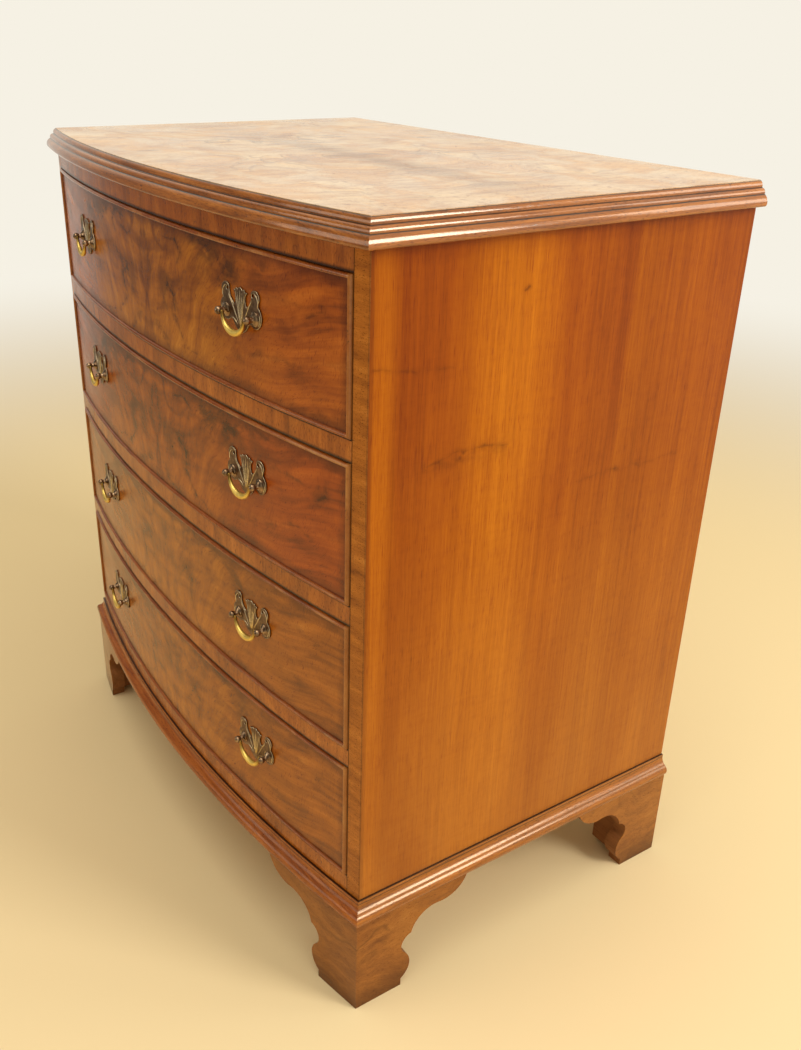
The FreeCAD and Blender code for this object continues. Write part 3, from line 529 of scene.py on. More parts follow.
def side_veneer():
    """Straight walnut leaves laid upright, gold and red-brown by turns, with small pin knots.

    The bowed front edge is crossbanded like the rails, with painted shade along its inner edge at
    the drawers' gap, and painted shade darkens the side under the top moulding."""
    def build(tree):
        centred = point_in_mm(tree, (0, corner_y, 0))
        parts = add(tree, "ShaderNodeSeparateXYZ", {0: centred}).outputs
        straight = warped(tree, centred, 260, 5, 41)
        colour, relief = grained(tree, straight, (10, 10, 520), 42, side_tones, 0.5, "#cca070")
        stripes = noise(tree, straight, (4, 3.2, 420), 50, 4.0, 0.65)
        striped = add(tree, "ShaderNodeMapRange", {"Value": stripes, "From Min": 0.44,
                                                   "From Max": 0.62})
        where = add(tree, "ShaderNodeMapRange", {"Value": parts["Y"], "From Min": 150.0,
                                                 "From Max": 230.0, "To Min": 0.12,
                                                 "To Max": 0.3})
        striped = add(tree, "ShaderNodeMath", {0: striped, 1: where}, operation="MULTIPLY")
        colour = add(tree, "ShaderNodeMix", {
            "Factor": striped, "A": colour, "B": "#c09664"}, **stain)
        short = noise(tree, straight, (2.2, 1.3, 34), 48, 3.0, 0.6)
        dash = add(tree, "ShaderNodeMapRange", {"Value": short, "From Min": 0.50,
                                                "From Max": 0.66, "To Max": 0.16})
        colour = add(tree, "ShaderNodeMix", {
            "Factor": dash, "A": colour, "B": "#bc9464"}, **stain)
        wavy = noise(tree, centred, (30, 10, 420), 43, 2.0, 0.5)
        depth = add(tree, "ShaderNodeMath", {0: wavy, 1: leaf_waver, 2: parts["Y"]},
                    operation="MULTIPLY_ADD")
        depth = add(tree, "ShaderNodeMath", {0: depth, 1: leaf_waver / 2}, operation="SUBTRACT")
        share = add(tree, "ShaderNodeMath", {0: depth, 1: leaf_span}, operation="DIVIDE")
        leaf = add(tree, "ShaderNodeValToRGB", {"Fac": share}, stops=leaf_bands)
        fading = add(tree, "ShaderNodeMapRange", {
            "Value": parts["Z"], "From Min": 250.0, "From Max": 620.0, "To Min": 0.6})
        colour = add(tree, "ShaderNodeMix", {
            "Factor": fading, "A": colour, "B": leaf}, **stain)
        faded = add(tree, "ShaderNodeMapRange", {
            "Value": parts["Z"], "From Min": 130.0, "From Max": 520.0, "To Min": 0.32,
            "To Max": 0.0})
        colour = add(tree, "ShaderNodeMix", {
            "Factor": faded, "A": colour, "B": "#b27c3e"}, **coat)
        # Painted shade: the side darkens towards the top moulding, in the 22 mm under its overhang.
        under_moulding = (moulding_top - top_moulding_height) / mm
        painted_shade_under_moulding = add(tree, "ShaderNodeMapRange", {
            "Value": parts["Z"], "From Min": under_moulding - 22, "From Max": under_moulding,
            "To Max": 0.6}, interpolation_type="SMOOTHSTEP")
        colour = add(tree, "ShaderNodeMix", {
            "Factor": painted_shade_under_moulding, "A": colour, "B": "#ccb49c"}, **stain)
        drifts = noise(tree, centred, (80, 60, 190), 47, 3.0, 0.5)
        drift = add(tree, "ShaderNodeMapRange", {"Value": drifts, "From Min": 0.42,
                                                 "From Max": 0.66, "To Max": 0.28})
        colour = add(tree, "ShaderNodeMix", {
            "Factor": drift, "A": colour, "B": "#c89c6c"}, **stain)
        shimmer = noise(tree, centred, (50, 22, 5), 44, 3.0, 0.6)
        rib = add(tree, "ShaderNodeMapRange", {"Value": shimmer, "From Min": 0.48,
                                               "From Max": 0.68, "To Max": 0.12})
        colour = add(tree, "ShaderNodeMix", {
            "Factor": rib, "A": colour, "B": "#d0a880"}, **stain)
        turned = add(tree, "ShaderNodeCombineXYZ", {0: parts["Y"], 2: parts["Z"]})
        colour = drawn_marks(tree, colour, warped(tree, turned, 9, 3.2, 45, 3.0), side_marks,
                             "#6a3010", 0.95)
        banding, _ = grained(tree, centred, (60, 60, 12), 46, rail_tones, 0.3)
        across = outside(tree)
        # Painted shade along the stile's inner edge at the drawers' gap; the line after it is the
        # dark joint at the corner.
        banding = dark_lines(tree, banding, across, [(side_inner_x / mm, 1.4)])
        banding = dark_lines(tree, banding, across, [(half_width / mm, 0.7)], strength=0.5)
        edge = add(tree, "ShaderNodeMath", {0: proud_of_bow(tree), 1: -veneer},
                   operation="GREATER_THAN")
        colour = add(tree, "ShaderNodeMix", {
            "Factor": edge, "A": colour, "B": banding}, **coat)
        face = add(tree, "ShaderNodeMath", {0: across, 1: half_width / mm - veneer},
                   operation="GREATER_THAN")
        face = add(tree, "ShaderNodeMath", {0: face, 1: edge}, operation="MAXIMUM")
        return veneered(tree, colour, relief, face, pine_tones, running(2, 7), 49)
    return polished("straight_grained_walnut", build, specular=0.2)


def plain_wood(kind, axis):
    """Planed wood without polish or figure, dull and pale, its grain along one axis."""
    name, across, tones, pore_tone, seed = bare_woods[kind]

    def build(tree):
        point = warped(tree, point_in_mm(tree), 160, 6, seed)
        colour, relief = grained(tree, point, running(axis, across), seed + 1, tones, 0.35,
                                 pore_tone)
        fuzz = noise(tree, point_in_mm(tree), (9, 9, 9), seed + 5)
        rough = add(tree, "ShaderNodeMapRange", {
            "Value": fuzz, "To Min": bare_roughness - 0.08, "To Max": bare_roughness + 0.08})
        return colour, rough, relief
    return finished("%s_along_%s" % (name, "xyz"[axis]), build, 0.08)


# Polish of each moulding's runs along an axis, as (tones, gloss, specular, tint): the base's is
# duller and red along the front, and its side runs get a lighter gold tone, painted light from the
# window on that side.
moulding_polish = {
    ("top", 0): (moulding_tones, (0.07, 0.16), 0.9, pale_amber),
    ("top", 1): (moulding_tones, (0.07, 0.16), 0.9, pale_amber),
    ("base", 0): (base_tones, (0.15, 0.25), 0.6, amber),
    ("base", 1): (lit_side_base_tones, (0.15, 0.25), 0.8, amber)}


def moulded_walnut(run, axis):
    """Moulded walnut with its grain along the run, with painted shade in the quirks, so that each
    step is a bright round between two thin dark lines."""
    tones, gloss, specular, tint = moulding_polish[run, axis]

    def build(tree):
        point = warped(tree, point_in_mm(tree), 120, 4, 15)
        colour, relief = grained(tree, point, running(axis, 5), 16, tones, 0.3)
        level = add(tree, "ShaderNodeSeparateXYZ", {0: point_in_mm(tree)}).outputs["Z"]
        # Painted shade: thin dark lines in the quirks between the steps, and along the base
        # moulding's joint with the carcass.
        if run == "top":
            lines = [((moulding_top - step * top_moulding_height) / mm, 0.7)
                     for step in (0.0, 0.26, 0.51)]
        else:
            lines = [((base_top - 0.15 * base_moulding_height) / mm, 0.6), (base_top / mm, 0.6)]
        return dark_lines(tree, colour, level, lines), relief, 1.0
    return polished("%s_moulding_walnut_along_%s" % (run, "xyz"[axis]), build, gloss=gloss,
                    height=0.012, specular=specular, tint=tint)


def rubbed_bead():
    """Reddish cock bead, worn to bare pale wood in patches along its crest.

    The upright strips are paler than the long ones, in patches."""
    def build(tree):
        point = warped(tree, point_in_mm(tree), 160, 6, 16)
        colour, relief = grained(tree, point, (60, 10, 60), 17, bead_tones, 0.3)
        crest = add(tree, "ShaderNodeMapRange", {
            "Value": proud_of_bow(tree), "From Min": 0.55 * bead_proud / mm,
            "From Max": bead_proud / mm})
        patches = noise(tree, point_in_mm(tree), (90, 90, 60), 18, 6.0, 0.75)
        worn = add(tree, "ShaderNodeMapRange", {"Value": patches, "From Min": 0.53,
                                                "From Max": 0.66, "To Max": 0.6})
        amount = add(tree, "ShaderNodeMath", {0: crest, 1: worn}, operation="MULTIPLY")
        colour = add(tree, "ShaderNodeMix", {
            "Factor": amount, "A": colour, "B": "#c08c54"}, **coat)
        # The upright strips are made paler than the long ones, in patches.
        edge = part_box("drawer_1_front")[1][0] - bead_width
        upright = add(tree, "ShaderNodeMath", {0: outside(tree), 1: edge / mm},
                      operation="GREATER_THAN")
        paler_uprights = add(tree, "ShaderNodeMapRange", {"Value": patches, "From Min": 0.40,
                                                   "From Max": 0.60, "To Min": 0.2,
                                                   "To Max": 0.65})
        amount = add(tree, "ShaderNodeMath", {0: upright, 1: paler_uprights}, operation="MULTIPLY")
        colour = add(tree, "ShaderNodeMix", {
            "Factor": amount, "A": colour, "B": "#b07438"}, **coat)
        return colour, relief, 1.0
    return polished("bead_mahogany", build, gloss=(0.10, 0.20), specular=0.7)


def crossbanding():
    """Crossbanded rails: short upright grain in strips of several tones.

    Each rail has painted shade along the edges where it meets a drawer's gap."""
    def build(tree):
        point = warped(tree, point_in_mm(tree), 90, 5, 14)
        colour, relief = grained(tree, point, (14, 14, 120), 24, rail_tones, 0.35)
        strips = noise(tree, point_in_mm(tree), (55, 400, 90), 26, 1.0, 0.4)
        strip = add(tree, "ShaderNodeValToRGB", {"Fac": strips}, stops=[
            (0.40, "#c4a486"), (0.44, "#e8c8a4"), (0.52, "#fff0d0"), (0.56, "#e4c090")])
        colour = add(tree, "ShaderNodeMix", {"Factor": 0.55, "A": colour, "B": strip}, **stain)
        level = add(tree, "ShaderNodeSeparateXYZ", {0: point_in_mm(tree)}).outputs["Z"]
        rails = ["frieze_rail", "divider_rail_1", "divider_rail_2", "divider_rail_3",
                 "bottom_rail"]
        # Painted shade: dark lines along each rail's edges at the drawers' gaps.
        undersides = [(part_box(rail)[0][2] / mm, 3.4) for rail in rails[:-1]]
        tops = [(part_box(rail)[1][2] / mm, 1.2) for rail in rails]
        colour = dark_lines(tree, colour, level, undersides + tops)
        face = add(tree, "ShaderNodeMath", {0: proud_of_bow(tree), 1: -veneer},
                   operation="GREATER_THAN")
        return veneered(tree, colour, relief, face, pine_tones, running(0, 7), 29)
    return polished("crossbanded_walnut", build, specular=0.42, tint=pale_amber)


def foot_veneer():
    """Figured walnut on the bracket feet, darker towards where they stand on the floor."""
    def build(tree):
        point = point_in_mm(tree)
        colour, fine, curled = figured(tree, point, 60, foot_tones, swirl=28, ink=0.35)
        level = add(tree, "ShaderNodeSeparateXYZ", {0: point}).outputs["Z"]
        ragged = noise(tree, point, (18, 18, 18), 67, 3.0, 0.6)
        drift = add(tree, "ShaderNodeMath", {0: ragged, 1: 14.0, 2: level},
                    operation="MULTIPLY_ADD")
        # Darker towards the floor, fading out some 46 mm above it.
        darker_near_floor = add(tree, "ShaderNodeMapRange", {
            "Value": drift, "From Min": 7.0, "From Max": 46.0, "To Min": 0.62, "To Max": 0.0},
            interpolation_type="SMOOTHSTEP")
        colour = add(tree, "ShaderNodeMix", {
            "Factor": darker_near_floor, "A": colour, "B": "#6c4428"}, **stain)
        colour, relief = with_pores(tree, colour, fine, curled, (3.2, 3.2, 0.5), 68)
        sides = add(tree, "ShaderNodeMath", {
            0: outside(tree), 1: (half_width + foot_proud) / mm - veneer},
            operation="GREATER_THAN")
        fronts = add(tree, "ShaderNodeMath", {
            0: proud_of_bow(tree), 1: foot_proud / mm - veneer}, operation="GREATER_THAN")
        face = add(tree, "ShaderNodeMath", {0: sides, 1: fronts}, operation="MAXIMUM")
        return veneered(tree, colour, relief, face, core_tones, running(0, 7), 69)
    return polished("foot_walnut", build)


moulding_woods = {(run, axis): moulded_walnut(run, axis) for run, axis in moulding_polish}
finishes = {
    "figured_top": top_veneer(),
    "straight_walnut": side_veneer(),
    "crossbanded_rail": crossbanding(),
    "walnut_moulding": moulding_woods["top", 0],
    "cock_bead": rubbed_bead(),
    "figured_foot": foot_veneer(),
}


# ---- brasses ---------------------------------------------------------------------------------
def brass(name, tones, seed, polish, height, worn=None, broken=0.45, satin=0.24):
    """Brass gone brown in its hollows, and bright where the attribute `rubbed` is 1.

    `broken` is the least share of the rubbing that its own unevenness leaves, and `satin`
    the roughness of what is rubbed. Real casting grit is 0.1 to 0.3 mm across, and it is drawn
    at 0.8 mm, coarse enough to show."""
    def build(tree):
        point = point_in_mm(tree)
        patina = noise(tree, point, (5, 5, 5), seed, 4.0, 0.65)
        grit = noise(tree, point, (0.8, 0.8, 0.8), seed + 1, 2.0, 0.6)
        colour = add(tree, "ShaderNodeValToRGB", {"Fac": patina}, stops=tones)
        roughness = add(tree, "ShaderNodeMapRange", {
            "Value": patina, "From Min": 0.3, "From Max": 0.7,
            "To Min": polish + 0.12, "To Max": polish})
        if worn:
            rubbed = add(tree, "ShaderNodeAttribute", attribute_name="rubbed").outputs["Fac"]
            uneven = noise(tree, point, (2.5, 2.5, 2.5), seed + 2, 3.0, 0.6)
            firm = add(tree, "ShaderNodeMapRange", {"Value": uneven, "From Min": 0.3,
                                                    "From Max": 0.6, "To Min": broken})
            share = add(tree, "ShaderNodeMath", {0: rubbed, 1: firm}, operation="MULTIPLY")
            colour = add(tree, "ShaderNodeMix", {"Factor": share, "A": colour, "B": worn}, **coat)
            roughness = add(tree, "ShaderNodeMix", {
                "Factor": share, "A": roughness, "B": satin}, **blend)
        return colour, roughness, grit
    return finished(name, build, height, Metallic=1.0)


# Cast and left alone: brown and dull, with pale edges and ribs.
old_brass = brass("patinated_cast_brass",
                  [(0.30, "#564234"), (0.50, "#775e4a"), (0.70, "#987c62")],
                  seed=21, polish=0.28, height=0.10, worn="#ecd8b0")
# Turned and touched now and then: brown, with small sharp lights on the balls.
dark_brass = brass("handled_post_brass",
                   [(0.30, "#604a38"), (0.50, "#907458"), (0.70, "#b89c7c")],
                   seed=24, polish=0.13, height=0.03)
# Rubbed by hands every day: satin gold, brown only at the ends.
worn_brass = brass("polished_bail_brass",
                   [(0.30, "#6a5028"), (0.50, "#8c6c34"), (0.70, "#a88644")],
                   seed=22, polish=0.18, height=0.01, worn="#f2d070", broken=0.9, satin=0.42)


# ---- geometry trees --------------------------------------------------------------------------
def new_tree(name, sizes):
    """Geometry tree with a named input for each of its `sizes`, and a material."""
    tree = bpy.data.node_groups.new(name, "GeometryNodeTree")
    tree.interface.new_socket("Geometry", in_out="INPUT", socket_type="NodeSocketGeometry")
    for label in sizes:
        kind = "NodeSocketObject" if label == "Master" else "NodeSocketFloat"
        tree.interface.new_socket(label, in_out="INPUT", socket_type=kind)
    tree.interface.new_socket("Material", in_out="INPUT", socket_type="NodeSocketMaterial")
    tree.interface.new_socket("Geometry", in_out="OUTPUT", socket_type="NodeSocketGeometry")
    return tree, tree.nodes.new("NodeGroupInput").outputs


def close_tree(tree, geometry, material):
    """End a tree in Realize Instances and Set Material."""
    solid = add(tree, "GeometryNodeRealizeInstances", {0: geometry})
    painted = add(tree, "GeometryNodeSetMaterial", {0: solid, "Material": material})
    add(tree, "NodeGroupOutput", {0: painted})
    return tree


def run_tree(piece, tree, values):
    """Put the piece through a geometry tree and keep the result as its plain mesh."""
    modifier = piece.modifiers.new("shape", "NODES")
    modifier.node_group = tree
    for item in tree.interface.items_tree:
        if item.in_out == "INPUT" and item.name in values:
            modifier[item.identifier] = values[item.name]
    keep_evaluated(piece)


def keep_evaluated(piece):
    """Replace the piece's mesh by what its modifiers make of it."""
    bpy.context.view_layer.update()
    graph = bpy.context.evaluated_depsgraph_get()
    mesh = bpy.data.meshes.new_from_object(piece.evaluated_get(graph), depsgraph=graph)
    piece.modifiers.clear()
    piece.data = mesh


def new_piece(name, points=(), edges=(), faces=()):
    """Piece at the origin, with a mesh of the points, edges and faces given."""
    mesh = bpy.data.meshes.new(name)
    mesh.from_pydata([tuple(point) for point in points], edges, faces)
    piece = bpy.data.objects.new(name, mesh)
    scene.collection.objects.link(piece)
    return piece


def bail_tree():
    """Crescent that swells towards its lowest point, with a straight pin at each end."""
    tree, size = new_tree("bail_crescent", ["Outer Radius", "End Radius", "Middle Radius",
                                            "Pin Radius", "Pin Reach", "Stand"])
    start = add(tree, "GeometryNodeCurvePrimitiveLine")
    path = add(tree, "GeometryNodeResampleCurve", {"Curve": start, "Count": 41})
    share = add(tree, "GeometryNodeSplineParameter").outputs["Factor"]
    centred = add(tree, "ShaderNodeMath", {0: share, 1: 0.5}, operation="SUBTRACT")
    angle = add(tree, "ShaderNodeMath", {0: centred, 1: math.pi}, operation="MULTIPLY")
    sine = add(tree, "ShaderNodeMath", {0: angle}, operation="SINE")
    cosine = add(tree, "ShaderNodeMath", {0: angle}, operation="COSINE")
    swell = add(tree, "ShaderNodeMath", {0: cosine, 1: 2.0}, operation="POWER")
    radius = add(tree, "ShaderNodeMapRange", {
        "Value": swell, "To Min": size["End Radius"], "To Max": size["Middle Radius"]})
    reach = add(tree, "ShaderNodeMath", {0: size["Outer Radius"], 1: radius},
                operation="SUBTRACT")
    across = add(tree, "ShaderNodeMath", {0: reach, 1: sine}, operation="MULTIPLY")
    down = add(tree, "ShaderNodeMath", {0: reach, 1: cosine}, operation="MULTIPLY")
    drop = add(tree, "ShaderNodeMath", {0: down, 1: -1.0}, operation="MULTIPLY")
    out = add(tree, "ShaderNodeMath", {0: size["Stand"], 1: -1.0}, operation="MULTIPLY")
    place = add(tree, "ShaderNodeCombineXYZ", {0: across, 1: out, 2: drop})
    bent = add(tree, "GeometryNodeSetPosition", {"Geometry": path, "Position": place})
    ring = add(tree, "GeometryNodeCurvePrimitiveCircle", {"Resolution": 20, "Radius": 1.0})
    rubbed = add(tree, "ShaderNodeMapRange", {"Value": swell, "From Max": 0.4})
    marked = add(tree, "GeometryNodeStoreNamedAttribute", {
        "Geometry": bent, "Name": "rubbed", "Value": rubbed}, data_type="FLOAT", domain="POINT")
    sized = add(tree, "GeometryNodeSetCurveRadius", {"Curve": marked, "Radius": radius})
    crescent = add(tree, "GeometryNodeCurveToMesh", {
        "Curve": sized, "Profile Curve": ring, "Scale": radius, "Fill Caps": True})
    joined = add(tree, "GeometryNodeJoinGeometry")      # its one socket takes every link
    tree.links.new(crescent.outputs[0], joined.inputs[0])
    elbow_x = add(tree, "ShaderNodeMath", {0: size["Outer Radius"], 1: size["End Radius"]},
                  operation="SUBTRACT")
    for end in (-1, 1):
        inner_x = add(tree, "ShaderNodeMath", {0: elbow_x, 1: end}, operation="MULTIPLY")
        outer_x = add(tree, "ShaderNodeMath", {0: size["Pin Reach"], 1: end},
                      operation="MULTIPLY")
        inner = add(tree, "ShaderNodeCombineXYZ", {0: inner_x, 1: out})
        outer = add(tree, "ShaderNodeCombineXYZ", {0: outer_x, 1: out})
        pin_line = add(tree, "GeometryNodeCurvePrimitiveLine", {"Start": inner, "End": outer})
        pin_ring = add(tree, "GeometryNodeCurvePrimitiveCircle", {
            "Resolution": 16, "Radius": size["Pin Radius"]})
        pin = add(tree, "GeometryNodeCurveToMesh", {
            "Curve": pin_line, "Profile Curve": pin_ring, "Fill Caps": True})
        ball = add(tree, "GeometryNodeMeshUVSphere", {
            "Segments": 16, "Rings": 10, "Radius": size["End Radius"]})
        knuckle = add(tree, "GeometryNodeTransform", {"Geometry": ball, "Translation": inner})
        tree.links.new(pin.outputs[0], joined.inputs[0])
        tree.links.new(knuckle.outputs[0], joined.inputs[0])
    smooth = add(tree, "GeometryNodeSetShadeSmooth", {0: joined})
    return close_tree(tree, smooth, size["Material"])


def rib_tree():
    """Round ribs along a piece's edges, tapering to both ends of every line."""
    tree, size = new_tree("tapered_ribs", ["Rib Radius", "Tip Share"])
    lines = add(tree, "GeometryNodeMeshToCurve", {0: size["Geometry"]})
    share = add(tree, "GeometryNodeSplineParameter").outputs["Factor"]
    angle = add(tree, "ShaderNodeMath", {0: share, 1: math.pi}, operation="MULTIPLY")
    swell = add(tree, "ShaderNodeMath", {0: angle}, operation="SINE")
    full = add(tree, "ShaderNodeMapRange", {"Value": swell, "From Max": 0.7,
                                            "To Min": size["Tip Share"]})
    radius = add(tree, "ShaderNodeMath", {0: full, 1: size["Rib Radius"]}, operation="MULTIPLY")
    ring = add(tree, "GeometryNodeCurvePrimitiveCircle", {"Resolution": 10, "Radius": 1.0})
    ribs = add(tree, "GeometryNodeCurveToMesh", {
        "Curve": lines, "Profile Curve": ring, "Scale": radius, "Fill Caps": True})
    smooth = add(tree, "GeometryNodeSetShadeSmooth", {0: ribs})
    return close_tree(tree, smooth, size["Material"])


def placing_tree():
    """A master shape on every point of a piece, turned by the point's own angles."""
    tree, size = new_tree("placed_copies", ["Master"])
    source = add(tree, "GeometryNodeObjectInfo", {"Object": size["Master"]})
    turn = add(tree, "GeometryNodeInputNamedAttribute", {"Name": "turn"}, data_type="FLOAT_VECTOR")
    copies = add(tree, "GeometryNodeInstanceOnPoints", {
        "Points": size["Geometry"], "Instance": source.outputs["Geometry"], "Rotation": turn})
    return close_tree(tree, copies, size["Material"])


# ---- outlines --------------------------------------------------------------------------------
def arc_points(start, through, end, count=10):
    """Points after `start` along the arc through three points of a plane."""
    a, b, c = (complex(*point) for point in (start, through, end))
    w = (c - a) / (b - a)
    centre = a + (b - a) * (w - abs(w) ** 2) / (2j * w.imag)
    turn = cmath.phase((c - centre) / (a - centre))
    if (turn > 0) != (w.imag > 0):
        turn += math.tau if w.imag > 0 else -math.tau
    spots = [centre + (a - centre) * cmath.exp(1j * turn * step / count)
             for step in range(1, count + 1)]
    return [(spot.real, spot.imag) for spot in spots]


def outline(start, steps):
    """Points of an outline; a step is (end,) for a line or (through, end) for an arc."""
    points = [start]
    for step in steps:
        points += [step[0]] if len(step) == 1 else arc_points(points[-1], *step)
    return points


def outward(piece):
    """Merge doubles, turn the faces outwards and shade rounds smooth and edges sharp."""
    shape = bmesh.new()
    shape.from_mesh(piece.data)
    bmesh.ops.remove_doubles(shape, verts=shape.verts, dist=0.002 * mm)
    bmesh.ops.recalc_face_normals(shape, faces=shape.faces)
    for face in shape.faces:
        face.smooth = True
    for edge in shape.edges:
        edge.smooth = len(edge.link_faces) == 2 and edge.calc_face_angle() < math.radians(35)
    shape.to_mesh(piece.data)
    shape.free()


def swept(name, profile, paths, count, material):
    """Closed runs of an outline, one for each path(point, share), joined as one piece."""
    points, faces = [], []
    around = len(profile)
    for path in paths:
        first = len(points)
        for step in range(count + 1):
            points += [path(point, step / count) for point in profile]
        for step in range(count):
            row = first + step * around
            for place in range(around):
                after = (place + 1) % around
                faces.append((row + place, row + after, row + around + after,
                              row + around + place))
        faces.append(tuple(range(first, first + around)))
        faces.append(tuple(range(len(points) - around, len(points))))
    piece = new_piece(name, points, (), faces)
    outward(piece)
    piece.data.materials.append(material)
    return piece


def on_bow(x, proud):
    """Y of the bow at x, for a surface `proud` of the carcass front."""
    return bow_centre_y - math.sqrt((bow_radius + proud) ** 2 - x ** 2)


# ---- mouldings and beads ---------------------------------------------------------------------
moulding_steps = 64               # straight lengths that a front run's bow is made of
bead_steps = 48


def mitre_line(reach, inset):
    """(point, direction) in plan of the mitre at the right front corner of a moulding."""
    outer, inner = (Vector((half_width + proud, on_bow(half_width + proud, proud)))
                    for proud in (reach, -inset))
    return inner, (outer - inner).normalized()


def build_moulding(name, profile, top, reach, inset):
    """Front run along the bow and two side runs, mitred together, of (out, down) points."""
    start, along = mitre_line(reach, inset)
    from_centre = start - Vector((0, bow_centre_y))

    def front(point, share):
        out, down = point
        radius = bow_radius + out
        nearness = from_centre.dot(along)
        travel = -nearness + math.sqrt(nearness ** 2 - from_centre.length_squared + radius ** 2)
        half_angle = math.asin((start + along * travel).x / radius)
        angle = half_angle * (2 * share - 1)
        return (radius * math.sin(angle), bow_centre_y - radius * math.cos(angle), top - down)

    def side(point, share):
        out, down = point
        x = half_width + out
        y = start.y + (x - start.x) * along.y / along.x
        return (x, y + (back_y - y) * share, top - down)

    def left_side(point, share):
        x, y, z = side(point, share)
        return (-x, y, z)
    place = name.split("_")[0]
    for word, path, count, axis in (("front", front, moulding_steps, 0),
                                    ("right", side, 1, 1), ("left", left_side, 1, 1)):
        run = swept("%s_%s_run" % (name, word), profile, [path], count,
                    moulding_woods[place, axis])
        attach(run, "carcass")
        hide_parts("%s_%s" % (name, word))


def build_mouldings():
    """Stepped moulding under the top and nosed moulding on the base frame."""
    reach, height = top_moulding_reach, top_moulding_height
    stepped = outline((0, 0), [
        ((0.03 * reach, 0),), ((0.22 * reach, 0.10 * height), (0.26 * reach, 0.25 * height)),
        ((0.31 * reach, 0.27 * height),),
        ((0.57 * reach, 0.36 * height), (0.61 * reach, 0.50 * height)),
        ((0.67 * reach, 0.52 * height),),
        ((0.95 * reach, 0.70 * height), (reach, 0.86 * height)),
        ((0.92 * reach, 0.96 * height), (0.76 * reach, height)), ((0, height),)])
    build_moulding("top_moulding", stepped, moulding_top, reach, 0)
    reach, height = base_moulding_reach, base_moulding_height
    nosed = outline((0, 0), [
        ((0.2 * reach, 0),), ((0.2 * reach, 0.15 * height),),
        ((0.34 * reach, 0.36 * height), (0.68 * reach, 0.49 * height)),
        ((reach, 0.745 * height), (foot_proud, 0.97 * height)), ((foot_proud, height),),
        ((-base_frame_inset, height),), ((-base_frame_inset, 0),)])
    build_moulding("base_moulding", nosed, base_top, reach, base_frame_inset)


def build_bead(drawer):
    """Four half round strips, mitred round a drawer front, of (in, proud) points."""
    low, high = (Vector(corner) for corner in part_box(drawer + "_front"))
    half = high.x
    shoulder = 0.9 * mm           # straight part of a strip in front of the carcass face
    profile = outline((0, -bead_rebate), [
        ((0, shoulder),), ((bead_width / 2, bead_proud), (bead_width, shoulder)),
        ((bead_width, -bead_rebate),)])

    def lying(z_of):
        def path(point, share):
            inward, proud = point
            x = (half - inward) * (2 * share - 1)
            return (x, on_bow(x, proud), z_of(inward))
        return path

    def standing(side):
        def path(point, share):
            inward, proud = point
            bottom = low.z + inward
            return (side * (half - inward), on_bow(half - inward, proud),
                    bottom + (high.z - inward - bottom) * share)
        return path
    paths = [lying(lambda inward: low.z + inward), lying(lambda inward: high.z - inward),
             standing(-1), standing(1)]
    bead = swept(drawer + "_bead_strips", profile, paths, bead_steps, finishes["cock_bead"])
    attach(bead, drawer)
    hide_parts(drawer + "_cock_bead")


# ---- handles: post line on X, back in the XZ plane, facing -Y ---------------------------------
# Right half of a plate's outline from its top to its foot, and its other sizes, in mm.
plate_half = outline((0, 23.0), [
    ((1.9, 22.3), (3.6, 20.8)), ((5.2, 21.7), (6.6, 21.4)), ((6.9, 20.2), (7.2, 19.4)),
    ((8.9, 19.9), (10.4, 19.4)), ((7.2, 12.6), (9.4, 6.8)), ((15.2, 12.6), (17.0, 21.4)),
    ((23.6, 24.0), (28.8, 16.6)), ((27.4, 13.6), (27.0, 10.4)), ((31.6, 2.4), (26.6, -7.6)),
    ((22.0, -9.2), (18.0, -8.0)), ((16.2, -7.0), (14.6, -6.8)), ((12.9, -7.2), (11.4, -8.2)),
    ((7.0, -13.6), (0, -17.0))])
edge_round = 0.3
ear_hole = (19.6, 19.2)
ear_hole_radius = 1.9
rib_radius = 0.55
rib_tip = 0.35                    # share of its radius that a rib keeps at its ends
bright_height = 0.5               # height over a plate's face where the brass is all bright
# Cast ribs of half a plate: veins of the fan and scrolls of the ear, each through three points.
plate_ribs = [
    ((0, -14.5), (0.1, 4), (0, 20.6)), ((0.5, -13), (2.0, 2), (3.6, 18.4)),
    ((1.2, -10.5), (4.2, 6), (7.0, 18.6)), ((2.6, -9.2), (8.4, 0.2), (17.4, 15.0)),
    ((4.6, -10.4), (9.4, -6.4), (14.8, -4.9)), ((9.9, 5.6), (14.4, 9.6), (18.0, 15.4)),
    ((25.9, 9.6), (27.0, 15.4), (20.8, 21.8)), ((28.6, 4.6), (29.4, -0.8), (26.4, -6.0))]


def circle_points(centre, radius, count=20):
    """Points round a hole."""
    return [(centre[0] + radius * math.cos(math.tau * step / count),
             centre[1] + radius * math.sin(math.tau * step / count)) for step in range(count)]


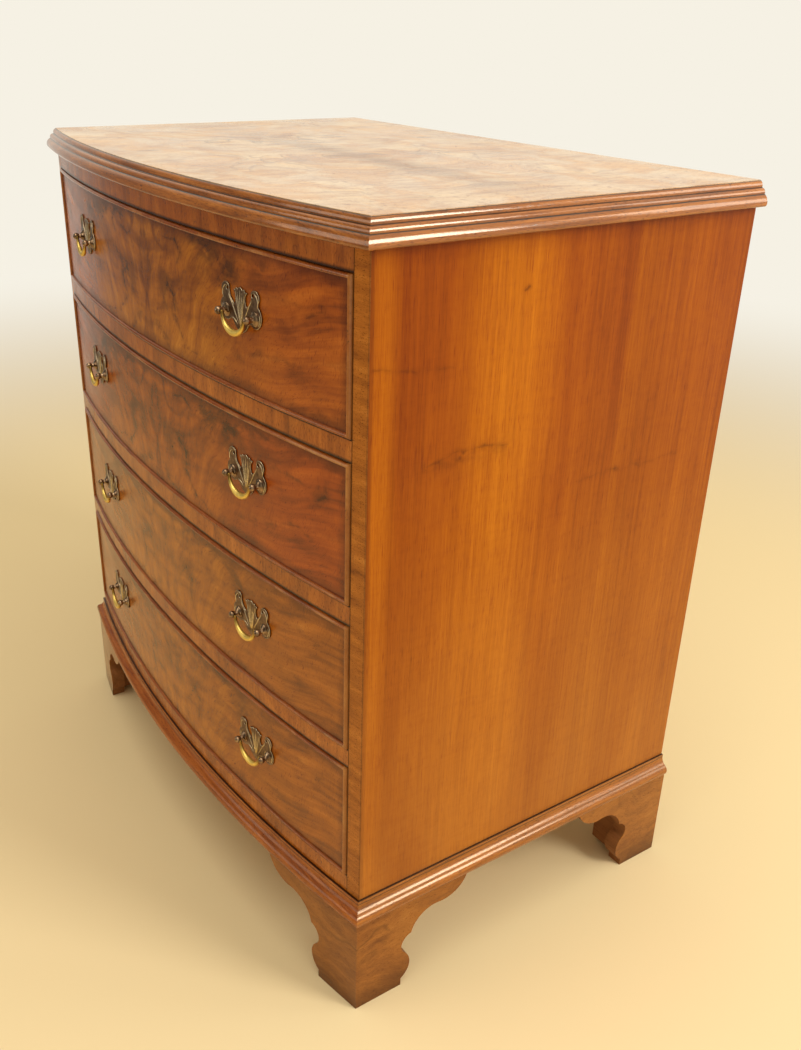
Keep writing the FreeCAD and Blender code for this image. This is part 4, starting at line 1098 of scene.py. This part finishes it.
def plate_master():
    """Pierced plate with rounded edges and cast ribs, from its outline and its holes."""
    flat = bpy.data.curves.new("plate_outline", "CURVE")
    flat.dimensions = "2D"
    flat.fill_mode = "BOTH"
    flat.extrude = plate_thickness / 2 - edge_round * mm
    flat.bevel_depth = edge_round * mm
    flat.bevel_resolution = 2
    flat.offset = -edge_round * mm
    left_half = [(-u, v) for u, v in plate_half[::-1][1:-1]]
    loops = [plate_half + left_half]
    loops += [circle_points((side * ear_hole[0], ear_hole[1]), ear_hole_radius)
              for side in (-1, 1)]
    for loop in loops:
        spline = flat.splines.new("POLY")
        spline.points.add(len(loop) - 1)
        spline.use_cyclic_u = True
        for point, (u, v) in zip(spline.points, loop):
            point.co = (u * mm, v * mm, 0, 1)
    source = bpy.data.objects.new("plate_source", flat)
    scene.collection.objects.link(source)
    bpy.context.view_layer.update()
    graph = bpy.context.evaluated_depsgraph_get()
    mesh = bpy.data.meshes.new_from_object(source.evaluated_get(graph), depsgraph=graph)
    bpy.data.objects.remove(source)
    upright = Matrix.Rotation(math.pi / 2, 4, "X")
    mesh.transform(Matrix.Translation((0, -plate_thickness / 2, 0)) @ upright)

    points, edges = [], []
    for side in (-1, 1):
        for start, through, end in plate_ribs:
            line = [start] + arc_points(start, through, end, 14)
            edges += [(len(points) + step, len(points) + step + 1)
                      for step in range(len(line) - 1)]
            points += [(side * u * mm, -plate_thickness, v * mm) for u, v in line]
    ribs = new_piece("ribs", points, edges)
    run_tree(ribs, rib_tree(), {"Rib Radius": rib_radius * mm, "Tip Share": rib_tip})
    shape = bmesh.new()
    shape.from_mesh(mesh)
    shape.from_mesh(ribs.data)
    shape.to_mesh(mesh)
    shape.free()
    bpy.data.objects.remove(ribs)
    mark_rubbed(mesh, plate_thickness, bright_height * mm)
    master = bpy.data.objects.new("plate_master", mesh)
    scene.collection.objects.link(master)
    return master


def mark_rubbed(mesh, face, relief):
    """Attribute `rubbed`: 1 on the rounded edges and on what stands proud of a plate's face."""
    rubbed = mesh.attributes.new("rubbed", "FLOAT", "POINT")
    for entry, vertex in zip(rubbed.data, mesh.vertices):
        proud = -vertex.co.y - face
        edge = -edge_round * mm * 0.98 < proud < -edge_round * mm * 0.02
        entry.value = 1.0 if edge else min(1.0, max(0.0, proud / relief))


def turned_mesh(name, profile, sides=32):
    """Piece turned round the Y axis from (radius, out) pairs, closed at both ends."""
    rings = []
    for radius, out in profile:
        rings.append([(radius * math.cos(math.tau * side / sides), -out,
                       radius * math.sin(math.tau * side / sides)) for side in range(sides)])
    points = [point for ring in rings for point in ring]
    faces = []
    for row in range(len(rings) - 1):
        for side in range(sides):
            after = (side + 1) % sides
            faces.append((row * sides + side, row * sides + after,
                          (row + 1) * sides + after, (row + 1) * sides + side))
    faces.append(tuple(range(sides)))
    faces.append(tuple(range(len(points) - sides, len(points))))
    piece = new_piece(name, points, (), faces)
    outward(piece)
    return piece


# Collar and neck of a post, as (radius, height over the plate) in mm.
post_collar = [(6.5, 0), (6.5, 0.5), (6.1, 0.8), (5.6, 0.9), (5.2, 1.3), (4.2, 2.2), (3.1, 2.8),
               (2.5, 3.2), (2.35, 3.7)]
ball_angles = range(-56, 90, 5)   # degrees over the ball's equator, from its neck to its crown


def post_profile():
    """(radius, out) of a post in metres, from its threaded end to the crown of its ball."""
    tail = -(front_thickness + nut_thickness + thread_past_nut)
    thread_end = -front_thickness + thread_in_front
    profile = [(0.6 * shank_radius, tail), (0.85 * shank_radius, tail + 0.3 * mm)]
    turns = int((thread_end - tail - thread_start) / thread_pitch)
    for turn in range(turns):
        out = tail + thread_start + turn * thread_pitch
        profile += [(0.84 * shank_radius, out), (shank_radius, out + thread_pitch / 2)]
    profile += [(shank_radius, thread_end + 0.2 * mm), (shank_radius, plate_thickness)]
    profile += [(radius * mm, plate_thickness + rise * mm) for radius, rise in post_collar]
    for angle in ball_angles:
        turn = math.radians(angle)
        profile.append((post_ball_radius * math.cos(turn),
                        post_ball_stand + post_ball_radius * math.sin(turn)))
    return profile


def bored_post():
    """Turned post with the bail's eye bored into the side that faces +X."""
    post = turned_mesh("post_master", post_profile())
    drill_length = 12 * mm
    eye_depth = bail_pin_entry + bail_pin_end_gap
    drill = turned_mesh("drill", [(bail_eye_radius, 0), (bail_eye_radius, drill_length)], 20)
    drill.data.transform(Matrix.Translation((-eye_depth, -post_ball_stand, 0))
                         @ Matrix.Rotation(math.pi / 2, 4, "Z"))
    cut = post.modifiers.new("eye", "BOOLEAN")
    cut.object = drill
    cut.operation = "DIFFERENCE"
    cut.solver = "EXACT"
    keep_evaluated(post)
    bpy.data.objects.remove(drill)
    outward(post)
    return post


def nut_master():
    """Hexagonal nut with chamfered corners, its outer face on the XZ plane."""
    profile = [(nut_face_radius, 0), (nut_corner_radius, -nut_chamfer),
               (nut_corner_radius, nut_chamfer - nut_thickness),
               (nut_face_radius, -nut_thickness)]
    return turned_mesh("nut_master", profile, 6)


def handle_places(drawer):
    """(side, place, turn) of both handles on the bow of a drawer front."""
    level = drawer_floor(drawer) + opening_height / 2 + handle_rise
    places = []
    for side in (-1, 1):
        turn = math.asin(side * handle_x / bow_radius)
        places.append((side, Vector((side * handle_x, on_bow(handle_x, 0), level)), turn))
    return places


def copies_at(name, spots, master, tree, material):
    """One mesh of copies of the master, at (place, turn) spots."""
    piece = new_piece(name, [place for place, _ in spots])
    angles = piece.data.attributes.new("turn", "FLOAT_VECTOR", "POINT")
    for entry, (_, turn) in zip(angles.data, spots):
        entry.vector = turn
    run_tree(piece, tree, {"Master": master, "Material": material})
    return piece


def build_handles():
    """Plates, posts with nuts and bails of every drawer, in place of their plainer solids."""
    placing = placing_tree()
    crescent = bail_tree()
    plate, post, nut = plate_master(), bored_post(), nut_master()
    back_radius = bow_radius - front_thickness
    nut_reach = post_half_spacing + nut_corner_radius
    nut_seat = front_thickness + back_radius - math.sqrt(back_radius ** 2 - nut_reach ** 2)
    for drawer in drawers:
        number = drawer[-1]
        plates, posts, nuts = [], [], []
        for side, place, turn in handle_places(drawer):
            plates.append((place, (0, 0, turn)))
            lay = Matrix.Translation(place) @ Matrix.Rotation(turn, 4, "Z")
            for end in (-1, 1):
                flip = math.pi if end == 1 else 0.0
                posts.append((lay @ Vector((end * post_half_spacing, 0, 0)), (0, flip, turn)))
                nuts.append((lay @ Vector((end * post_half_spacing, nut_seat, 0)), (0, 0, turn)))
            word = "left" if side == -1 else "right"
            bail = new_piece("%s_bail_%s_crescent" % (drawer, word), [(0, 0, 0)])
            run_tree(bail, crescent, {
                "Outer Radius": bail_outer_radius, "End Radius": bail_end_radius,
                "Middle Radius": bail_middle_radius, "Pin Radius": bail_pin_radius,
                "Pin Reach": post_half_spacing + bail_pin_entry, "Stand": post_ball_stand,
                "Material": worn_brass})
            bail.data.transform(lay)
            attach(bail, "bail_%s_%s" % (number, word))
            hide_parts("%s_bail_%s" % (drawer, word))
        cast = copies_at(drawer + "_plates_cast", plates, plate, placing, old_brass)
        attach(cast, drawer)
        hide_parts(drawer + "_handle_plates")
        turned = copies_at(drawer + "_posts_turned", posts, post, placing, dark_brass)
        hexed = copies_at(drawer + "_nuts", nuts, nut, placing, old_brass)
        for fitting in (turned, hexed):
            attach(fitting, drawer)
        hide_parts(drawer + "_handle_posts")
    for master in (plate, post, nut):
        bpy.data.objects.remove(master)


# ---- finish on the frame's own nodes ---------------------------------------------------------
def dress_nodes():
    """Give every slot of the frame's nodes the wood that its name asks for."""
    veneers = {drawer: drawer_veneer(drawer, leaf) for leaf, drawer in enumerate(drawers)}
    bare = {(kind, axis): plain_wood(kind, axis) for kind in bare_woods for axis in range(3)}
    for name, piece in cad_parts.items():
        axis = max([way for end, way in grain_axes.items() if name.endswith(end)], default=0)
        for slot in piece.material_slots:
            kind = slot.material.name
            if kind == "figured_front":
                slot.material = veneers[name[:8]]
            elif kind in bare_woods:
                slot.material = bare[kind, axis]
            elif kind in finishes:
                slot.material = finishes[kind]


# ---- stage -----------------------------------------------------------------------------------
floor_tone = "#e9d5aa"
room_tone = "#f6f1e4"
warm_tone = "#f6e9cc"             # the same surroundings as they light the chest
lamp_tone = (1.0, 0.95, 0.86)
light_end = (0.45, 0.89, 0)       # level direction from the chest to the light end of the room
floor_reach = 20.0
fade_start = 0.9                  # the floor fades into the room from here
fade_end = 3.2


def room_glow(tree, direction, ray):
    """Strength of the pale surroundings: 1 to the eye, and dimmer for reflections of the side
    of the room that faces the drawers, as in a room lit from behind the chest."""
    toward = add(tree, "ShaderNodeVectorMath", {0: direction}, operation="NORMALIZE")
    facing = add(tree, "ShaderNodeVectorMath", {0: toward, 1: light_end},
                 operation="DOT_PRODUCT").outputs["Value"]
    mirrored = add(tree, "ShaderNodeMapRange", {
        "Value": facing, "From Min": -0.72, "From Max": -0.42, "To Min": 0.2, "To Max": 1.0})
    mirrored = add(tree, "ShaderNodeMath", {0: mirrored, 1: ray["Is Glossy Ray"]},
                   operation="MULTIPLY")
    return add(tree, "ShaderNodeMath", {0: mirrored, 1: ray["Is Camera Ray"]},
               operation="MAXIMUM")


def build_floor():
    """Pale sand floor that runs out into the pale surroundings."""
    corners = [(x * floor_reach, y * floor_reach, 0)
               for x, y in ((-1, -1), (1, -1), (1, 1), (-1, 1))]
    floor = new_piece("floor", corners, (), [(0, 1, 2, 3)])
    paint = bpy.data.materials.new("pale_floor")
    paint.use_nodes = True
    tree = paint.node_tree
    tree.nodes.clear()
    place = add(tree, "ShaderNodeTexCoord").outputs["Object"]
    away = add(tree, "ShaderNodeVectorMath", {0: place}, operation="LENGTH").outputs["Value"]
    far = add(tree, "ShaderNodeMapRange", {
        "Value": away, "From Min": fade_start, "From Max": fade_end},
        interpolation_type="SMOOTHSTEP")
    ray = add(tree, "ShaderNodeLightPath").outputs
    seen = add(tree, "ShaderNodeMath", {0: ray["Is Camera Ray"], 1: ray["Is Glossy Ray"]},
               operation="MAXIMUM")
    share = add(tree, "ShaderNodeMath", {0: far, 1: seen}, operation="MULTIPLY")
    matt = add(tree, "ShaderNodeBsdfDiffuse", {"Color": floor_tone})
    glow = add(tree, "ShaderNodeEmission", {"Color": room_tone,
                                            "Strength": room_glow(tree, place, ray)})
    surface = add(tree, "ShaderNodeMixShader", {0: share, 1: matt, 2: glow})
    add(tree, "ShaderNodeOutputMaterial", {"Surface": surface})
    floor.data.materials.append(paint)


def build_room():
    """Plain pale surroundings, seen at full strength and lighting at a lower one."""
    lighting = 0.55
    world = bpy.data.worlds.new("pale_room")
    world.use_nodes = True
    scene.world = world
    tree = world.node_tree
    tree.nodes.clear()
    ray = add(tree, "ShaderNodeLightPath").outputs
    direction = add(tree, "ShaderNodeTexCoord").outputs["Generated"]
    seen = add(tree, "ShaderNodeMath", {0: ray["Is Camera Ray"], 1: ray["Is Glossy Ray"]},
               operation="MAXIMUM")
    strength = add(tree, "ShaderNodeMapRange", {
        "Value": seen, "To Min": lighting, "To Max": room_glow(tree, direction, ray)})
    tone = add(tree, "ShaderNodeMix", {"Factor": seen, "A": warm_tone, "B": room_tone}, **coat)
    sky = add(tree, "ShaderNodeBackground", {"Color": tone, "Strength": strength})
    add(tree, "ShaderNodeOutputWorld", {"Surface": sky})


def build_lamps():
    """Two windows behind the right side, a wide ceiling panel and a weak fill from the left.

    Places and sizes are in metres, and powers in watts."""
    middle = Vector((0, 0, 0.4))
    for name, place, size, power in (("window", (2.2, 1.1, 1.7), (0.8, 1.2), 44),
                                     ("back_window", (1.5, 1.75, 1.4), (0.5, 1.0), 6),
                                     ("ceiling", (0.3, -0.5, 2.9), (2.6, 2.6), 42),
                                     ("fill", (-1.2, -2.8, 1.2), (1.6, 1.6), 12)):
        lamp = bpy.data.lights.new(name, "AREA")
        lamp.shape = "RECTANGLE"
        lamp.size, lamp.size_y = size
        lamp.energy = power
        lamp.color = lamp_tone
        light = bpy.data.objects.new(name, lamp)
        scene.collection.objects.link(light)
        light.location = place
        aim = middle - light.location
        light.rotation_euler = aim.to_track_quat("-Z", "Y").to_euler()


def build_camera():
    """View from the right front, a little above the top."""
    station = Vector((0.98901, -0.61592, 0.92664))
    image_height = 1050
    focal_pixels = 1041.57
    off_centre = (27.6, -6.65)        # pixels that the frame is shifted by
    azimuth, elevation, roll = (math.radians(angle) for angle in (56.004, 25.590, 1.246))
    back = Vector((math.sin(azimuth) * math.cos(elevation),
                   -math.cos(azimuth) * math.cos(elevation), math.sin(elevation)))
    level = Vector((0, 0, 1)).cross(back).normalized()
    upright = back.cross(level)
    right = level * math.cos(roll) + upright * math.sin(roll)
    up = upright * math.cos(roll) - level * math.sin(roll)
    lens = bpy.data.cameras.new("camera")
    lens.sensor_fit = "VERTICAL"
    lens.lens = focal_pixels / image_height * lens.sensor_height
    lens.shift_x = off_centre[0] / image_height
    lens.shift_y = off_centre[1] / image_height
    lens.clip_end = 100
    camera = bpy.data.objects.new("camera", lens)
    scene.collection.objects.link(camera)
    turn = Matrix((right, up, back)).transposed().to_4x4()
    camera.matrix_world = Matrix.Translation(station) @ turn
    scene.camera = camera


dress_nodes()
build_mouldings()
for drawer in drawers:
    build_bead(drawer)
build_handles()
build_floor()
build_room()
build_lamps()
build_camera()
scene.view_settings.view_transform = "Standard"
